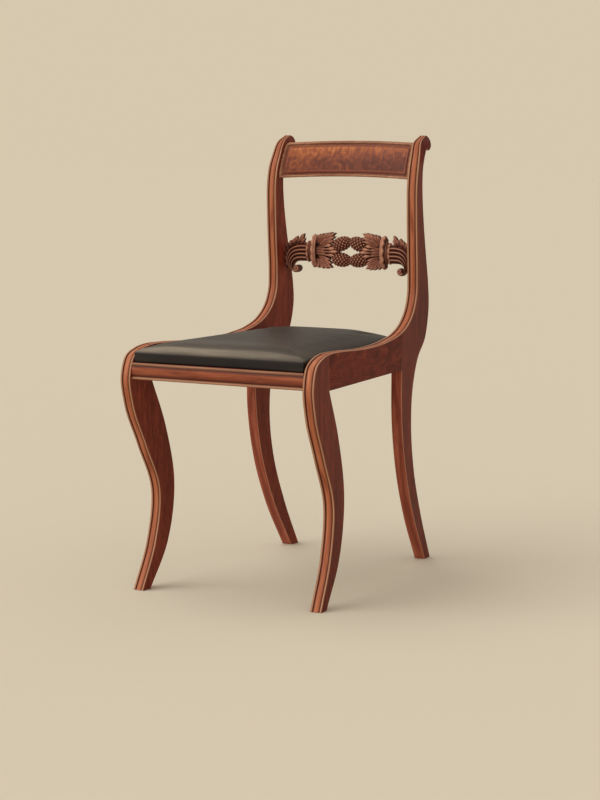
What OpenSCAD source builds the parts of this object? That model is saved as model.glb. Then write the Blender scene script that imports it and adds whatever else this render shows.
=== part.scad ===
// Side chair with sabre legs, a continuous moulded side band, a carved stay
// rail and a loose upholstered seat. Millimetres, +Z up, the sitter faces -Y,
// origin on the floor below the middle of the chair.

/* [Overall] */
// Height to the top of the scrolls
overall_h = 849; // [819:5:879]
// Depth from the knees to the rear feet
overall_d = 575; // [560:5:590]
// Width across the outer faces of the front legs, at the knee
front_w = 406; // [390:2:430]
// Difference between that width and the width at the joint of side rails and stiles
taper_w = 58; // [46:2:70]
// Thickness of legs, side rails and stiles, the width of the moulded band
member_t = 22.5; // [20:0.5:26]

/* [Front leg] */
// Front edge of the front foot behind the knee
foot_in = 32; // [26:1:38]
// Length of the front foot on the floor
foot_len = 25; // [22:1:30]
// Front edge of the shin's hollow behind the knee
shin_in = 90; // [82:1:94]
// Depth of the leg at its hollow
shin_depth = 46; // [41:1:51]

/* [Seat rails] */
// Underside of the side rails
rail_bottom_z = 398; // [388:2:404]
// Height of the side rails at their hollow
rail_h = 59; // [57:1:66]
// Joint between front leg and side rail, behind the knee
leg_joint_in = 67; // [60:1:74]
// Length of the side rail between its joints
side_rail_l = 349; // [342:1:352]
// Height of the front rail
front_rail_h = 31; // [28:1:34]
// Depth of the front rail
front_rail_t = 26; // [24:1:28]
// Front face of the front rail behind the knee
front_rail_in = 5; // [3:0.5:7]
// Rise of the front rail's and the cleats' top, on which the loose seat rests, above the side rails' underside
seat_rest_h = 37; // [34:1:40]
// Front face of the rear rail behind the joint of side rail and stile
rear_rail_in = 31; // [28:1:34]
// Thickness of the rear rail
rear_rail_t = 24; // [20:1:26]
// Height of the rear rail
rear_rail_h = 57; // [54:1:60]

/* [Rear leg and stile] */
// Length of the rear foot on the floor
rear_foot_len = 27; // [24:1:32]
// Depth of the rear leg at its narrowest, under the seat
rear_leg_depth = 46; // [42:1:50]
// Front edge of the stile behind the joint of side rail and stile
stile_in = 75; // [72:1:78]
// Depth of the stile at its fullest, above the seat
stile_bulge = 67; // [61:1:71]
// Depth of the stile between stay rail and crest
stile_depth = 28; // [25:1:31]
// Radius of the scroll at the top of the stile
scroll_r = 15; // [13:0.5:17]
// Centre of the scroll behind the stile's front edge
scroll_in = 59; // [55:1:62]

/* [Moulded band] */
// Width of the bead along each edge of the band
bead_w = 3.2; // [2.6:0.2:3.8]
// Width of the quirk beside each bead
quirk_w = 1.6; // [1.2:0.1:2]
// Depth of the quirk
quirk_d = 2.2; // [1.6:0.1:2.6]
// Width of the shoulder that rounds the reed
shoulder_w = 2.4; // [1.6:0.2:3]
// Depth of the shoulder that rounds the reed
shoulder_d = 0.7; // [0.4:0.1:1]

/* [Crest rail] */
// Height of the crest rail's face
crest_h = 71; // [62:1:74]
// Top of the crest rail below the top of the scrolls
crest_drop = 15; // [12:1:18]
// Thickness of the crest rail
crest_t = 13; // [12:0.5:15]
// Crest rail's face behind the stile's front edge
crest_setback = 11; // [10:0.5:12]
// Distance that the crest rail leans back over its height
crest_lean = 29; // [26:1:31]
// Distance that the crest rail bows backwards in the middle
crest_bow = 22; // [14:1:26]
// Distance that the crest rail rises in the middle
crest_rise = 4; // [2:0.5:6]
// Width of the bead round the crest rail
crest_bead_w = 5; // [4:0.5:6]
// Height of the bead above the crest rail's face
crest_bead_d = 2.2; // [1.6:0.2:3]
// Gap between the bead and the veneered panel
panel_gap = 3.5; // [2.5:0.5:5]
// Height of the veneered panel above the crest rail's face
panel_d = 1.4; // [1:0.2:2]

/* [Stay rail] */
// Height of the stay rail's middle line
stay_z = 614; // [606:2:622]
// Stay rail's middle behind the stile's front edge
stay_setback = 36; // [34:1:39]
// Distance that the stay rail bows backwards in the middle
stay_bow = 10; // [4:1:16]
// Distance that the stay rail rises in the middle
stay_rise = 3; // [1:0.5:5]
// Thickness of the horn at its mouth
horn_t = 22; // [18:1:24]
// Distance of the horn's rim from the stile
rim_in = 66; // [63:1:69]
// Half the height of the rim
rim_r = 34; // [31:1:36]
// Height of the horn, from the bottom of its curl to the top of its neck
horn_h = 62; // [59:1:65]
// Radius of the curl at the horn's tail
curl_r = 9; // [8:0.5:10]
// Half the width of the leaves
leaf_w = 13; // [11:0.5:14]
// Half the length of the cones
cone_l = 21.5; // [20:0.5:23]
// Radius of the cones
cone_r = 13; // [12:0.5:14]

/* [Joinery] */
// Length of the front and rear rails' tenons
tenon_l = 18; // [14:1:20]
// Thickness of the seat rails' tenons
tenon_t = 9; // [7:0.5:10]
// Length of the side rails' tenons
side_tenon_l = 15; // [12:1:16]
// Length of the back rails' tenons
back_tenon_l = 14; // [10:1:16]
// Clearance between a tenon and its mortise
joint_gap = 0.1; // [0.05:0.05:0.3]
// Leg of the triangular corner blocks
block_leg = 40; // [36:1:40]
// Height of the corner blocks
block_h = 28; // [24:1:30]
// Width of the cleats
cleat_w = 12; // [10:1:14]
// Height of the cleats
cleat_h = 22; // [18:1:26]
// Radius of the wood screws' shanks
screw_r = 1.9; // [1.6:0.1:2.2]
// Radius of the wood screws' heads
screw_head_r = 3.7; // [3.4:0.1:4]
// Height of the wood screws' heads
screw_head_h = 2.2; // [1.8:0.2:2.6]
// Length of the wood screws in the rail or leg
screw_bite = 9; // [7:1:11]

/* [Loose seat] */
// Gap between the loose seat and the wood round it
seat_gap = 1.5; // [1:0.25:2]
// Gap under the loose seat
seat_lift = 0.3; // [0.2:0.05:0.5]
// Seat's front edge behind the front rail's face
seat_setback = 4; // [2:0.5:6]
// Thickness of the horsehair cover
cover_t = 1.2; // [0.8:0.1:1.6]
// Width of the cover turned under the seat frame
cover_return = 30; // [28:1:32]
// Thickness of the seat frame
seat_frame_t = 16; // [15:0.5:18]
// Width of the seat frame's front and back pieces
seat_end_w = 46; // [42:1:50]
// Width of the seat frame's side pieces
seat_side_w = 40; // [36:1:44]
// Height of the cover's edge above the seat frame
seat_edge_h = 5; // [4.5:0.5:8]
// Rise of the rolled edge above the cover's edge
seat_roll_h = 8; // [6:0.5:10]
// Rise of the crown above the rolled edge
crown_h = 12; // [8:0.5:18]
// Distance that the cover's sides draw in between the corners
draw_in = 1; // [0.5:0.1:1.5]
// Width of the webbing
web_w = 46; // [40:1:50]
// Thickness of the webbing
web_t = 1.2; // [1:0.1:1.5]
// Thickness of the base hessian
hessian_t = 0.8; // [0.6:0.1:1]
// Radius of the tack heads
tack_r = 3; // [2.4:0.2:3.4]

/* [Hidden] */

mahogany = [0.46, 0.19, 0.11];
mahogany_light = [0.62, 0.28, 0.14];
mahogany_dark = [0.36, 0.15, 0.09];
beech = [0.72, 0.55, 0.36];
jute = [0.62, 0.51, 0.34];
black_cloth = [0.07, 0.065, 0.06];
hair = [0.28, 0.22, 0.17];
iron = [0.30, 0.28, 0.27];

// Samples of each curve stretch
curve_steps = 5;
// Overlap of a cutter past the face that it cuts
cut = 1;

function blend(a, b, t) = a + (b - a) * t;
function flat(lists) = [for (l = lists) for (x = l) x];
function reversed(l) = [for (i = [len(l) - 1:-1:0]) l[i]];
function unit(v) = v / norm(v);

// Smooth curve through points, with tangents weighted by the spans' lengths
function tangent(p, i) =
  let (n = len(p) - 1,
       a = i == 0 ? p[1] - p[0] : p[i] - p[i - 1],
       b = i == n ? p[n] - p[n - 1] : p[i + 1] - p[i],
       da = norm(a), db = norm(b))
  (a * db / da + b * da / db) / (da + db);
function curve_point(p, i, t) =
  let (d = norm(p[i + 1] - p[i]), m0 = tangent(p, i) * d, m1 = tangent(p, i + 1) * d)
  (2 * t ^ 3 - 3 * t ^ 2 + 1) * p[i] + (t ^ 3 - 2 * t ^ 2 + t) * m0
  + (3 * t ^ 2 - 2 * t ^ 3) * p[i + 1] + (t ^ 3 - t ^ 2) * m1;
function curve(p) = concat(
  [for (i = [0:len(p) - 2]) for (j = [0:curve_steps - 1]) curve_point(p, i, j / curve_steps)],
  [p[len(p) - 1]]);
// The curve moved d towards the right of its direction, which is into the wood
function inset(path, d) = [for (i = [0:len(path) - 1])
  let (a = path[max(i - 1, 0)], b = path[min(i + 1, len(path) - 1)], t = unit(b - a))
  path[i] + d * [t.y, -t.x]];

// A side frame's own places are v, backwards along the frame, and z. Front leg:
knee_v = -overall_d / 2;
foot_v = knee_v + foot_in;
shin_v = knee_v + shin_in;
leg_seam_v = knee_v + leg_joint_in;
stile_seam_v = leg_seam_v + side_rail_l;
leg_z = rail_bottom_z;
rail_top_z = rail_bottom_z + rail_h;
seat_rest_z = rail_bottom_z + seat_rest_h;
// Heights of the band at the two joints
leg_seam_z = rail_top_z + 6;
stile_seam_z = rail_top_z + 13.5;
// Rear leg and stile
stile_v = stile_seam_v + stile_in;
leg_back_v = stile_seam_v + 5 + rear_leg_depth;
bulge_v = stile_v + stile_bulge;
stile_back_v = stile_v + stile_depth;
rear_foot_v = -knee_v - rear_foot_len;
scroll_v = stile_v + scroll_in;
scroll_z = overall_h - scroll_r;
crest_top_z = overall_h - crest_drop;
crest_bottom_z = crest_top_z - crest_h;

// Waypoints of the band: up the leg's front, along the rail's top and up the stile's front
leg_way = [
  [foot_v, 0],
  [blend(foot_v, shin_v, 0.74), 0.22 * leg_z],
  [shin_v, 0.46 * leg_z],
  [blend(shin_v, knee_v, 0.465), 0.69 * leg_z],
  [blend(shin_v, knee_v, 0.91), 0.9 * leg_z],
  [knee_v, leg_z + 14],
  [knee_v + 14, rail_top_z - 11],
  [knee_v + 43, rail_top_z + 2],
  [leg_seam_v, leg_seam_z]];
rail_way = [
  [blend(leg_seam_v, stile_seam_v, 0.15), rail_top_z + 6],
  [blend(leg_seam_v, stile_seam_v, 0.41), rail_top_z + 1],
  [blend(leg_seam_v, stile_seam_v, 0.62), rail_top_z],
  [blend(leg_seam_v, stile_seam_v, 0.83), rail_top_z + 4],
  [stile_seam_v, stile_seam_z]];
stile_way = [
  [stile_v - 41, stile_seam_z + 13],
  [stile_v - 10, stile_seam_z + 39],
  [stile_v + 4, stile_seam_z + 69],
  [stile_v + 6, stile_seam_z + 105],
  [stile_v + 3, blend(stile_seam_z, crest_bottom_z, 0.55)],
  [stile_v, blend(stile_seam_z, crest_bottom_z, 0.78)],
  [stile_v + 1, crest_bottom_z - 6],
  [stile_v + 7, crest_bottom_z + 22],
  [stile_v + 17, crest_bottom_z + 46],
  [stile_v + 31, crest_top_z + 1],
  [scroll_v, overall_h]];
band = curve(concat(leg_way, rail_way, stile_way));
leg_end = (len(leg_way) - 1) * curve_steps;
rail_end = leg_end + len(rail_way) * curve_steps;
function stretch(path, first, last) =
  [for (i = [max(first, 0):min(last, len(path) - 1)]) path[i]];

leg_back = curve([
  [foot_v + foot_len, 0],
  [shin_v + shin_depth - 24, 0.2 * leg_z],
  [shin_v + shin_depth, 0.47 * leg_z],
  [shin_v + shin_depth - 27, 0.77 * leg_z],
  [leg_seam_v, leg_z]]);
rear_leg_front = curve([
  [rear_foot_v, 0],
  [blend(stile_seam_v, rear_foot_v, 0.51), 0.25 * leg_z],
  [blend(stile_seam_v, rear_foot_v, 0.18), 0.5 * leg_z],
  [stile_seam_v + 2, 0.76 * leg_z],
  [stile_seam_v, leg_z]]);
rear_back = curve([
  [rear_foot_v + rear_foot_len, 0],
  [blend(leg_back_v, rear_foot_v + rear_foot_len, 0.5), 0.25 * leg_z],
  [blend(leg_back_v, rear_foot_v + rear_foot_len, 0.13), 0.5 * leg_z],
  [leg_back_v, 0.74 * leg_z],
  [leg_back_v + 6, leg_z - 46],
  [leg_back_v + 34, leg_z + 16],
  [bulge_v - 18, rail_top_z - 6],
  [bulge_v - 6, rail_top_z + 23],
  [bulge_v, rail_top_z + 54],
  [bulge_v - 3, rail_top_z + 95],
  [stile_back_v + 25, rail_top_z + 145],
  [stile_back_v + 13, rail_top_z + 198],
  [stile_back_v + 3, blend(stile_seam_z, crest_bottom_z, 0.83)],
  [stile_back_v, crest_bottom_z - 3],
  [stile_back_v + 2.5, crest_bottom_z + 22],
  [stile_back_v + 11, crest_bottom_z + 45]]);
scroll_arc = [for (a = [78:-12:-138]) [scroll_v + scroll_r * cos(a), scroll_z + scroll_r * sin(a)]];

leg_outline = concat(stretch(band, 0, leg_end), reversed(leg_back));
rail_outline = concat(stretch(band, leg_end, rail_end),
  [[stile_seam_v, rail_bottom_z], [leg_seam_v, rail_bottom_z]]);
stile_outline = concat(stretch(band, rail_end, len(band) - 1), scroll_arc,
  reversed(rear_back), rear_leg_front);

// The side frames lean in towards the back, and stand so that the chair's box is centred
cant = atan(taper_w / 2 / (stile_seam_v - knee_v));
first_v = min([for (p = leg_outline) p[0]]);
last_v = max([for (p = stile_outline) p[0]]);
base_y = (member_t * sin(cant) - cos(cant) * (last_v - first_v)) / 2;
// Y of a side frame's inner face at v, and X of the inner face at y
function inner_y(v) = base_y + cos(cant) * (v - first_v) - member_t * sin(cant);
function inner_x(y) = front_w / 2 - tan(cant) * (y - base_y) - member_t / cos(cant);

// Carries a side frame's own place to the chair: x is 0 on its outer face
module on_side(s) {
  mirror([s < 0 ? 1 : 0, 0, 0])
    translate([front_w / 2, base_y, 0]) rotate([0, 0, cant]) translate([0, -first_v, 0])
      children();
}
// A board of a side frame, from u0 to u1 inwards of its outer face
module board(outline, u0, u1) {
  translate([-u1, 0, 0]) rotate([90, 0, 90]) linear_extrude(u1 - u0) polygon(outline);
}
// Long cuts that leave bead, quirk and reed on the band between two samples
module band_cuts(first, last) {
  path = stretch(band, first - 1, last + 1);
  cuts = [[bead_w, quirk_w, quirk_d], [bead_w + quirk_w, shoulder_w, shoulder_d]];
  for (c = cuts) {
    outline = concat(inset(path, -cut), reversed(inset(path, c[2])));
    board(outline, c[0], c[0] + c[1]);
    board(outline, member_t - c[0] - c[1], member_t - c[0]);
  }
}

// Tenons, each grown by g for its mortise
front_rail_y = inner_y(first_v) + front_rail_in;
front_corner_y = front_rail_y + front_rail_t;
rear_rail_y = inner_y(stile_seam_v) + rear_rail_in;
front_rail_z = seat_rest_z - front_rail_h;
module rail_tenons(yc, zc, h, g) {
  for (s = [-1, 1])
    mirror([s < 0 ? 1 : 0, 0, 0])
      translate([inner_x(yc) - 3, yc - tenon_t / 2 - g, zc - h / 2 - g])
        cube([tenon_l + 3 + g, tenon_t + 2 * g, h + 2 * g]);
}
module front_rail_tenons(g) {
  rail_tenons(front_rail_y + front_rail_t / 2, seat_rest_z - front_rail_h / 2, front_rail_h - 10, g);
}
module rear_rail_tenons(g) {
  rail_tenons(rear_rail_y + rear_rail_t / 2, rail_bottom_z + rear_rail_h / 2, rear_rail_h - 16, g);
}
side_tenon_z = rail_bottom_z + 12;
side_tenon_h = rail_top_z - rail_bottom_z - 24;
module side_rail_tenon(v0, v1, g) {
  translate([-(member_t + tenon_t) / 2 - g, v0 - g, side_tenon_z - g])
    cube([tenon_t + 2 * g, v1 - v0 + 2 * g, side_tenon_h + 2 * g]);
}
module side_front_tenon(g) {
  side_rail_tenon(leg_seam_v - side_tenon_l, leg_seam_v + 2, g);
}
module side_rear_tenon(g) {
  side_rail_tenon(stile_seam_v - 2, stile_seam_v + side_tenon_l, g);
}
// Depth of the crest's face at a share of its height, a hollow that leans back
function crest_face(q) = crest_lean * max(q, 0) ^ 1.6;
crest_end_y = inner_y(stile_v) + crest_setback;
crest_tenon_h = 16;
crest_tenon_t = 4.5;
crest_tenon_z = crest_bottom_z + 0.36 * crest_h;
crest_tenon_y = crest_end_y + crest_face((crest_tenon_z + crest_tenon_h - crest_bottom_z) / crest_h);
module back_tenons(y, z, t, h, root, g) {
  for (s = [-1, 1])
    mirror([s < 0 ? 1 : 0, 0, 0])
      translate([inner_x(y) - root, y - g, z - g])
        cube([back_tenon_l + root + g, t + 2 * g, h + 2 * g]);
}
module crest_tenons(g) {
  back_tenons(crest_tenon_y + 0.8, crest_tenon_z, crest_tenon_t, crest_tenon_h, 2, g);
}
stay_end_y = inner_y(stile_v) + stay_setback;
stay_tenon_h = 18;
stay_tenon_t = 9;
module stay_tenons(g) {
  back_tenons(stay_end_y - stay_tenon_t / 2, stay_z - stay_tenon_h / 2, stay_tenon_t, stay_tenon_h, 8, g);
}

// Wood screws stand with their point down: z = 0 is the face that they bite into
module pilot_hole() {
  translate([0, 0, -screw_bite - 0.5]) cylinder(r = screw_r + 0.05, h = screw_bite + 0.5 + cut, $fn = 24);
}
module wood_screw(seat) {
  difference() {
    union() {
      translate([0, 0, -screw_bite]) cylinder(r = screw_r, h = screw_bite + seat + 0.5, $fn = 24);
      translate([0, 0, seat]) cylinder(r = screw_head_r, h = screw_head_h, $fn = 24);
    }
    translate([-screw_head_r - 1, -0.4, seat + screw_head_h - 1.1])
      cube([2 * screw_head_r + 2, 0.8, 2]);
  }
}
module screw_hole(seat, l) {
  translate([0, 0, -cut]) cylinder(r = screw_r + 0.2, h = seat + 2 * cut, $fn = 24);
  translate([0, 0, seat]) cylinder(r = screw_head_r + 0.4, h = l - seat, $fn = 24);
}
// Places of a corner block's two screws: z runs out of the rail or leg through the block
block_seat = 9;
block_screw_share = 0.3;
module block_screw_places(s, yc, dir) {
  z = seat_rest_z - block_h / 2;
  along = block_leg * block_screw_share;
  mirror([s < 0 ? 1 : 0, 0, 0]) {
    translate([inner_x(yc) - along, yc, z + 5]) rotate([dir > 0 ? -90 : 90, 0, 0]) children();
    translate([inner_x(yc + dir * along), yc + dir * along, z - 5]) rotate([0, -90, 0]) children();
  }
}
cleat_end_gap = 1;
cleat_y0 = front_corner_y + block_leg + cleat_end_gap;
cleat_y1 = rear_rail_y - block_leg - cleat_end_gap;
cleat_z = seat_rest_z - cleat_h;
cleat_seat = 8;
module side_cleat_screw_places(s) {
  for (q = [0.2, 0.8]) {
    y = blend(cleat_y0, cleat_y1, q);
    mirror([s < 0 ? 1 : 0, 0, 0]) translate([inner_x(y), y, cleat_z + cleat_h / 2])
      rotate([0, -90, cant]) children();
  }
}
module back_cleat_screw_places() {
  for (s = [-1, 1])
    translate([s * inner_x(rear_rail_y) * 0.4, rear_rail_y, cleat_z + cleat_h / 2])
      rotate([90, 0, 0]) children();
}

// Legs, side rails and stiles
module front_leg(s) {
  color(mahogany) difference() {
    on_side(s) difference() {
      board(leg_outline, 0, member_t);
      band_cuts(0, leg_end);
      side_front_tenon(joint_gap);
    }
    front_rail_tenons(joint_gap);
    block_screw_places(s, front_corner_y, 1) pilot_hole();
  }
}
module side_rail(s) {
  color(mahogany) difference() {
    on_side(s) {
      difference() {
        board(rail_outline, 0, member_t);
        band_cuts(leg_end, rail_end);
      }
      side_front_tenon(0);
      side_rear_tenon(0);
    }
    side_cleat_screw_places(s) pilot_hole();
  }
}
module rear_stile(s) {
  color(mahogany) difference() {
    on_side(s) difference() {
      board(stile_outline, 0, member_t);
      band_cuts(rail_end, len(band) - 1);
      side_rear_tenon(joint_gap);
    }
    rear_rail_tenons(joint_gap);
    crest_tenons(joint_gap);
    stay_tenons(joint_gap);
    block_screw_places(s, rear_rail_y, -1) pilot_hole();
  }
}

// A straight rail between the side frames, from y0 to y1
module cross_rail(y0, y1, z0, h) {
  translate([0, 0, z0]) linear_extrude(h)
    polygon([[-inner_x(y0), y0], [inner_x(y0), y0], [inner_x(y1), y1], [-inner_x(y1), y1]]);
}
module front_rail() {
  y0 = front_rail_y;
  color(mahogany_light) difference() {
    union() {
      cross_rail(y0, front_corner_y, front_rail_z, front_rail_h);
      front_rail_tenons(0);
    }
    for (z = [front_rail_z + bead_w, seat_rest_z - bead_w - quirk_w])
      translate([-front_w / 2, y0 - cut, z]) cube([front_w, cut + quirk_d, quirk_w]);
    for (z = [front_rail_z + bead_w + quirk_w, seat_rest_z - bead_w - quirk_w - shoulder_w])
      translate([-front_w / 2, y0 - cut, z]) cube([front_w, cut + shoulder_d, shoulder_w]);
    for (s = [-1, 1]) block_screw_places(s, front_corner_y, 1) pilot_hole();
  }
}
module rear_rail() {
  color(mahogany) difference() {
    union() {
      cross_rail(rear_rail_y, rear_rail_y + rear_rail_t, rail_bottom_z, rear_rail_h);
      rear_rail_tenons(0);
    }
    for (s = [-1, 1]) block_screw_places(s, rear_rail_y, -1) pilot_hole();
    back_cleat_screw_places() pilot_hole();
  }
}

// Two triangles of the quad from a to b in a ring of n and to the next ring, split from a or
// else from b, so that the faces of two pieces that touch are split alike
function quad(a, b, n, from_a) = from_a
  ? [[a, b + n, b], [a, a + n, b + n]]
  : [[a, a + n, b], [a + n, b + n, b]];
// A closed mesh through rings of points, each anticlockwise as seen from the last ring. The second
// half of a ring runs back along its first half, and the end faces are split across between them.
module tube_mesh(rings) {
  n = len(rings[0]);
  m = len(rings);
  side = [for (i = [0:m - 2]) for (j = [0:n - 1]) each quad(i * n + j, i * n + (j + 1) % n, n, j < n / 2)];
  end = (m - 1) * n;
  caps = [for (j = [0:n / 2 - 2]) each
    [[j, j + 1, n - 2 - j, n - 1 - j], [end + n - 1 - j, end + n - 2 - j, end + j + 1, end + j]]];
  polyhedron(flat(rings), concat(side, caps));
}
// The crest rail, its panel and its beads share one net of rows up the face and columns along it
bead_share = 1 - crest_bead_w / inner_x(crest_end_y);
panel_share = 1 - (crest_bead_w + panel_gap) / inner_x(crest_end_y);
panel_in = crest_bead_w + panel_gap;
row_steps = 5;
col_steps = 14;
crest_rows = concat([0, crest_bead_w],
  [for (i = [0:row_steps]) blend(panel_in, crest_h - panel_in, i / row_steps)],
  [crest_h - crest_bead_w, crest_h]);
crest_cols = concat([-1, -bead_share],
  [for (i = [0:col_steps]) blend(-panel_share, panel_share, i / col_steps)],
  [bead_share, 1]);
top_row = len(crest_rows) - 1;
end_col = len(crest_cols) - 1;
// A point of the net, d in front of the face
function crest_point(row, col, d) =
  let (s = crest_cols[col], lift = 1 - s * s, z = crest_rows[row],
       y = crest_end_y + crest_bow * lift + crest_face(z / crest_h) - d)
  [s * inner_x(y), y, crest_bottom_z + z + crest_rise * lift];
module crest_patch(row0, row1, col0, col1, d0, d1) {
  tube_mesh([for (c = [col0:col1]) concat(
    [for (r = [row1:-1:row0]) crest_point(r, c, d1)],
    [for (r = [row0:row1]) crest_point(r, c, d0)])]);
}
module crest_rail() {
  color(mahogany) {
    crest_patch(0, top_row, 0, end_col, -crest_t, 0);
    crest_tenons(0);
  }
}
module crest_panel() {
  color(mahogany_light) crest_patch(2, top_row - 2, 2, end_col - 2, 0, panel_d);
}
module crest_bead(row0, row1, col0, col1) {
  color(mahogany_light) crest_patch(row0, row1, col0, col1, 0, crest_bead_d);
}

// Carved stay rail: two horns of plenty whose leaves and cones meet in the middle
stay_inner = inner_x(stay_end_y);
// Place of a point of the carving, x and z from its middle, d in front of its middle plane
function stay_place(x, z, d = 0) =
  let (lift = 1 - (x / stay_inner) ^ 2)
  [x, stay_end_y + stay_bow * lift - d, stay_z + stay_rise * lift + z];
module at_stay(x, z) {
  translate(stay_place(x, z)) rotate([0, 0, -atan(2 * stay_bow * x / stay_inner ^ 2)]) children();
}
// A board cut to an outline in the carving's plane, t thick, about a place of its own
module carved_board(x, z, turn, t, outline) {
  at_stay(x, z) rotate([90, -turn, 0]) translate([0, 0, -t / 2]) linear_extrude(t) polygon(outline);
}
rim_x = stay_inner - rim_in;
// Shapes of horn and corner leaf are drawn for a horn 62 high and follow its height
horn_unit = horn_h / 62;
horn_x = -rim_x - 38 * horn_unit;
// The horn from neck to tail, about a place inside the curl's stem: [x, z] of its inner edge
// and of its outer edge
horn_way = curve(horn_unit * [
  [22, -21, 22, 17.5],
  [10, -20.5, 5, 18],
  [3, -20.5, -8, 15],
  [-2, -22, -19, 7],
  [-6, -24.5, -25, -6],
  [-8.5, -28, -25, -20],
  [-9, -32, -19, -32],
  [-6, -36, -9, -41]]);
// The stretch of the horn between two shares of its width
function horn_strip(f0, f1) = concat(
  [for (p = horn_way) blend([p[0], p[1]], [p[2], p[3]], f0)],
  reversed([for (p = horn_way) blend([p[0], p[1]], [p[2], p[3]], f1)]));
flutes = 5;
curl_z = -35 * horn_unit;
module horn() {
  carved_board(horn_x, 0, 0, horn_t - 5, horn_strip(0, 1));
  for (k = [0:flutes - 1])
    carved_board(horn_x, 0, 0, horn_t, horn_strip((k + 0.14) / flutes, (k + 0.86) / flutes));
  for (c = [[curl_r, horn_t - 2], [curl_r * 0.45, horn_t + 2]])
    at_stay(horn_x - horn_unit, curl_z) rotate([90, 0, 0]) cylinder(r = c[0], h = c[1], center = true, $fn = 32);
}
// An upright moulding of the horn's mouth, w wide with round ends
function round_ended(w, h) = [for (side = [1, -1]) for (k = [0:8])
  [side * w / 2 * cos(180 * k / 8), side * (h - w / 2 + w / 2 * sin(180 * k / 8))]];
module rim() {
  carved_board(-rim_x, 0, 0, horn_t + 8, round_ended(11, rim_r));
  carved_board(-rim_x - 9, 0, 0, horn_t + 4, round_ended(9, rim_r - 8));
  carved_board(-rim_x - 15, 0, 0, horn_t + 2, round_ended(7, rim_r - 13));
}
// A leaf from its root to its tip, with a scalloped edge
lobes = 4;
function leaf_edge(l, w, side) = [for (i = [0:lobes * 4]) let (t = i / lobes / 4)
  [l * t, side * (1.2 + w * sin(180 * t ^ 0.8) * (0.8 + 0.2 * abs(sin(180 * lobes * t))))]];
function leaf_outline(l, w) = concat(leaf_edge(l, w, -1), reversed(leaf_edge(l, w, 1)));
// The leaf that fills the corner between horn and stile, about the horn's own place
corner_lobes = 7;
corner_lobe_d = 2;
corner_leaf_way = curve(horn_unit * [
  [20, 14], [14, 30], [-2, 27], [-15, 21], [-25, 14], [-31, 0], [-30, -20], [-22, -36]]);
corner_leaf = [for (i = [0:len(corner_leaf_way) - 1])
  let (q = i / (len(corner_leaf_way) - 1), lobe = corner_lobe_d * (1 - abs(sin(180 * corner_lobes * q))))
  inset(corner_leaf_way, lobe)[i]];
// A pine cone about its long axis, with its rows of scales
cone_rows = 5;
module pine_cone(x, z, turn, l, r) {
  outline = [for (i = [0:cone_rows * 2]) let (t = i / cone_rows / 2)
    [r * sqrt(max(1 - (2 * t - 1) ^ 2, 0)) * (i % 2 == 0 ? 0.94 : 1.04), l * (2 * t - 1)]];
  at_stay(x, z) rotate([0, 90 - turn, 0]) rotate_extrude($fn = 24) polygon(outline);
}
leaf_z = rim_r - 24;
// How far a cone's end passes the middle
cone_meet = 2;
module stay_half() {
  horn();
  rim();
  carved_board(horn_x, 0, 0, horn_t - 8, corner_leaf);
  // The leaves reach from the rim over the cones' ends
  carved_board(-rim_x + 2, leaf_z, 32, horn_t - 6, leaf_outline(rim_x - 1.35 * cone_l, leaf_w));
  carved_board(-rim_x + 2, -leaf_z, -37, horn_t - 6, leaf_outline(rim_x - 1.58 * cone_l, leaf_w));
  carved_board(-rim_x + 1, 0, 1, horn_t - 2, leaf_outline(rim_x - 0.88 * cone_l, 1.23 * leaf_w));
  pine_cone(cone_meet - cone_l * cos(16), cone_r + 3, 16, cone_l, cone_r);
  pine_cone(cone_meet - cone_l * cos(5), -cone_r - 6, -5, cone_l, cone_r + 0.5);
}
module stay_rail() {
  color(mahogany_dark) {
    intersection() {
      for (s = [0, 1]) mirror([s, 0, 0]) stay_half();
      cross_rail(stay_end_y - 50, stay_end_y + 70, stay_z - 60, 120);
    }
    stay_tenons(0);
  }
}

// Corner blocks, cleats and their screws
module corner_block(s, yc, dir) {
  x = inner_x(yc);
  far = yc + dir * block_leg;
  color(beech) difference() {
    mirror([s < 0 ? 1 : 0, 0, 0]) translate([0, 0, seat_rest_z - block_h]) linear_extrude(block_h)
      polygon([[x, yc], [x - block_leg, yc], [inner_x(far), far]]);
    block_screw_places(s, yc, dir) screw_hole(block_seat, block_leg);
  }
}
module block_screws() {
  color(iron) for (s = [-1, 1]) {
    block_screw_places(s, front_corner_y, 1) wood_screw(block_seat);
    block_screw_places(s, rear_rail_y, -1) wood_screw(block_seat);
  }
}
module side_cleat(s) {
  a = inner_x(cleat_y0);
  b = inner_x(cleat_y1);
  color(beech) difference() {
    mirror([s < 0 ? 1 : 0, 0, 0]) translate([0, 0, cleat_z]) linear_extrude(cleat_h)
      polygon([[a, cleat_y0], [b, cleat_y1], [b - cleat_w, cleat_y1], [a - cleat_w, cleat_y0]]);
    side_cleat_screw_places(s) screw_hole(cleat_seat, cleat_w + 5);
  }
}
module back_cleat() {
  half = inner_x(rear_rail_y) - block_leg - cleat_end_gap;
  color(beech) difference() {
    translate([-half, rear_rail_y - cleat_w, cleat_z]) cube([2 * half, cleat_w, cleat_h]);
    back_cleat_screw_places() screw_hole(cleat_seat, cleat_w + 5);
  }
}
module cleat_screws() {
  color(iron) {
    for (s = [-1, 1]) side_cleat_screw_places(s) wood_screw(cleat_seat);
    back_cleat_screw_places() wood_screw(cleat_seat);
  }
}

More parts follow.
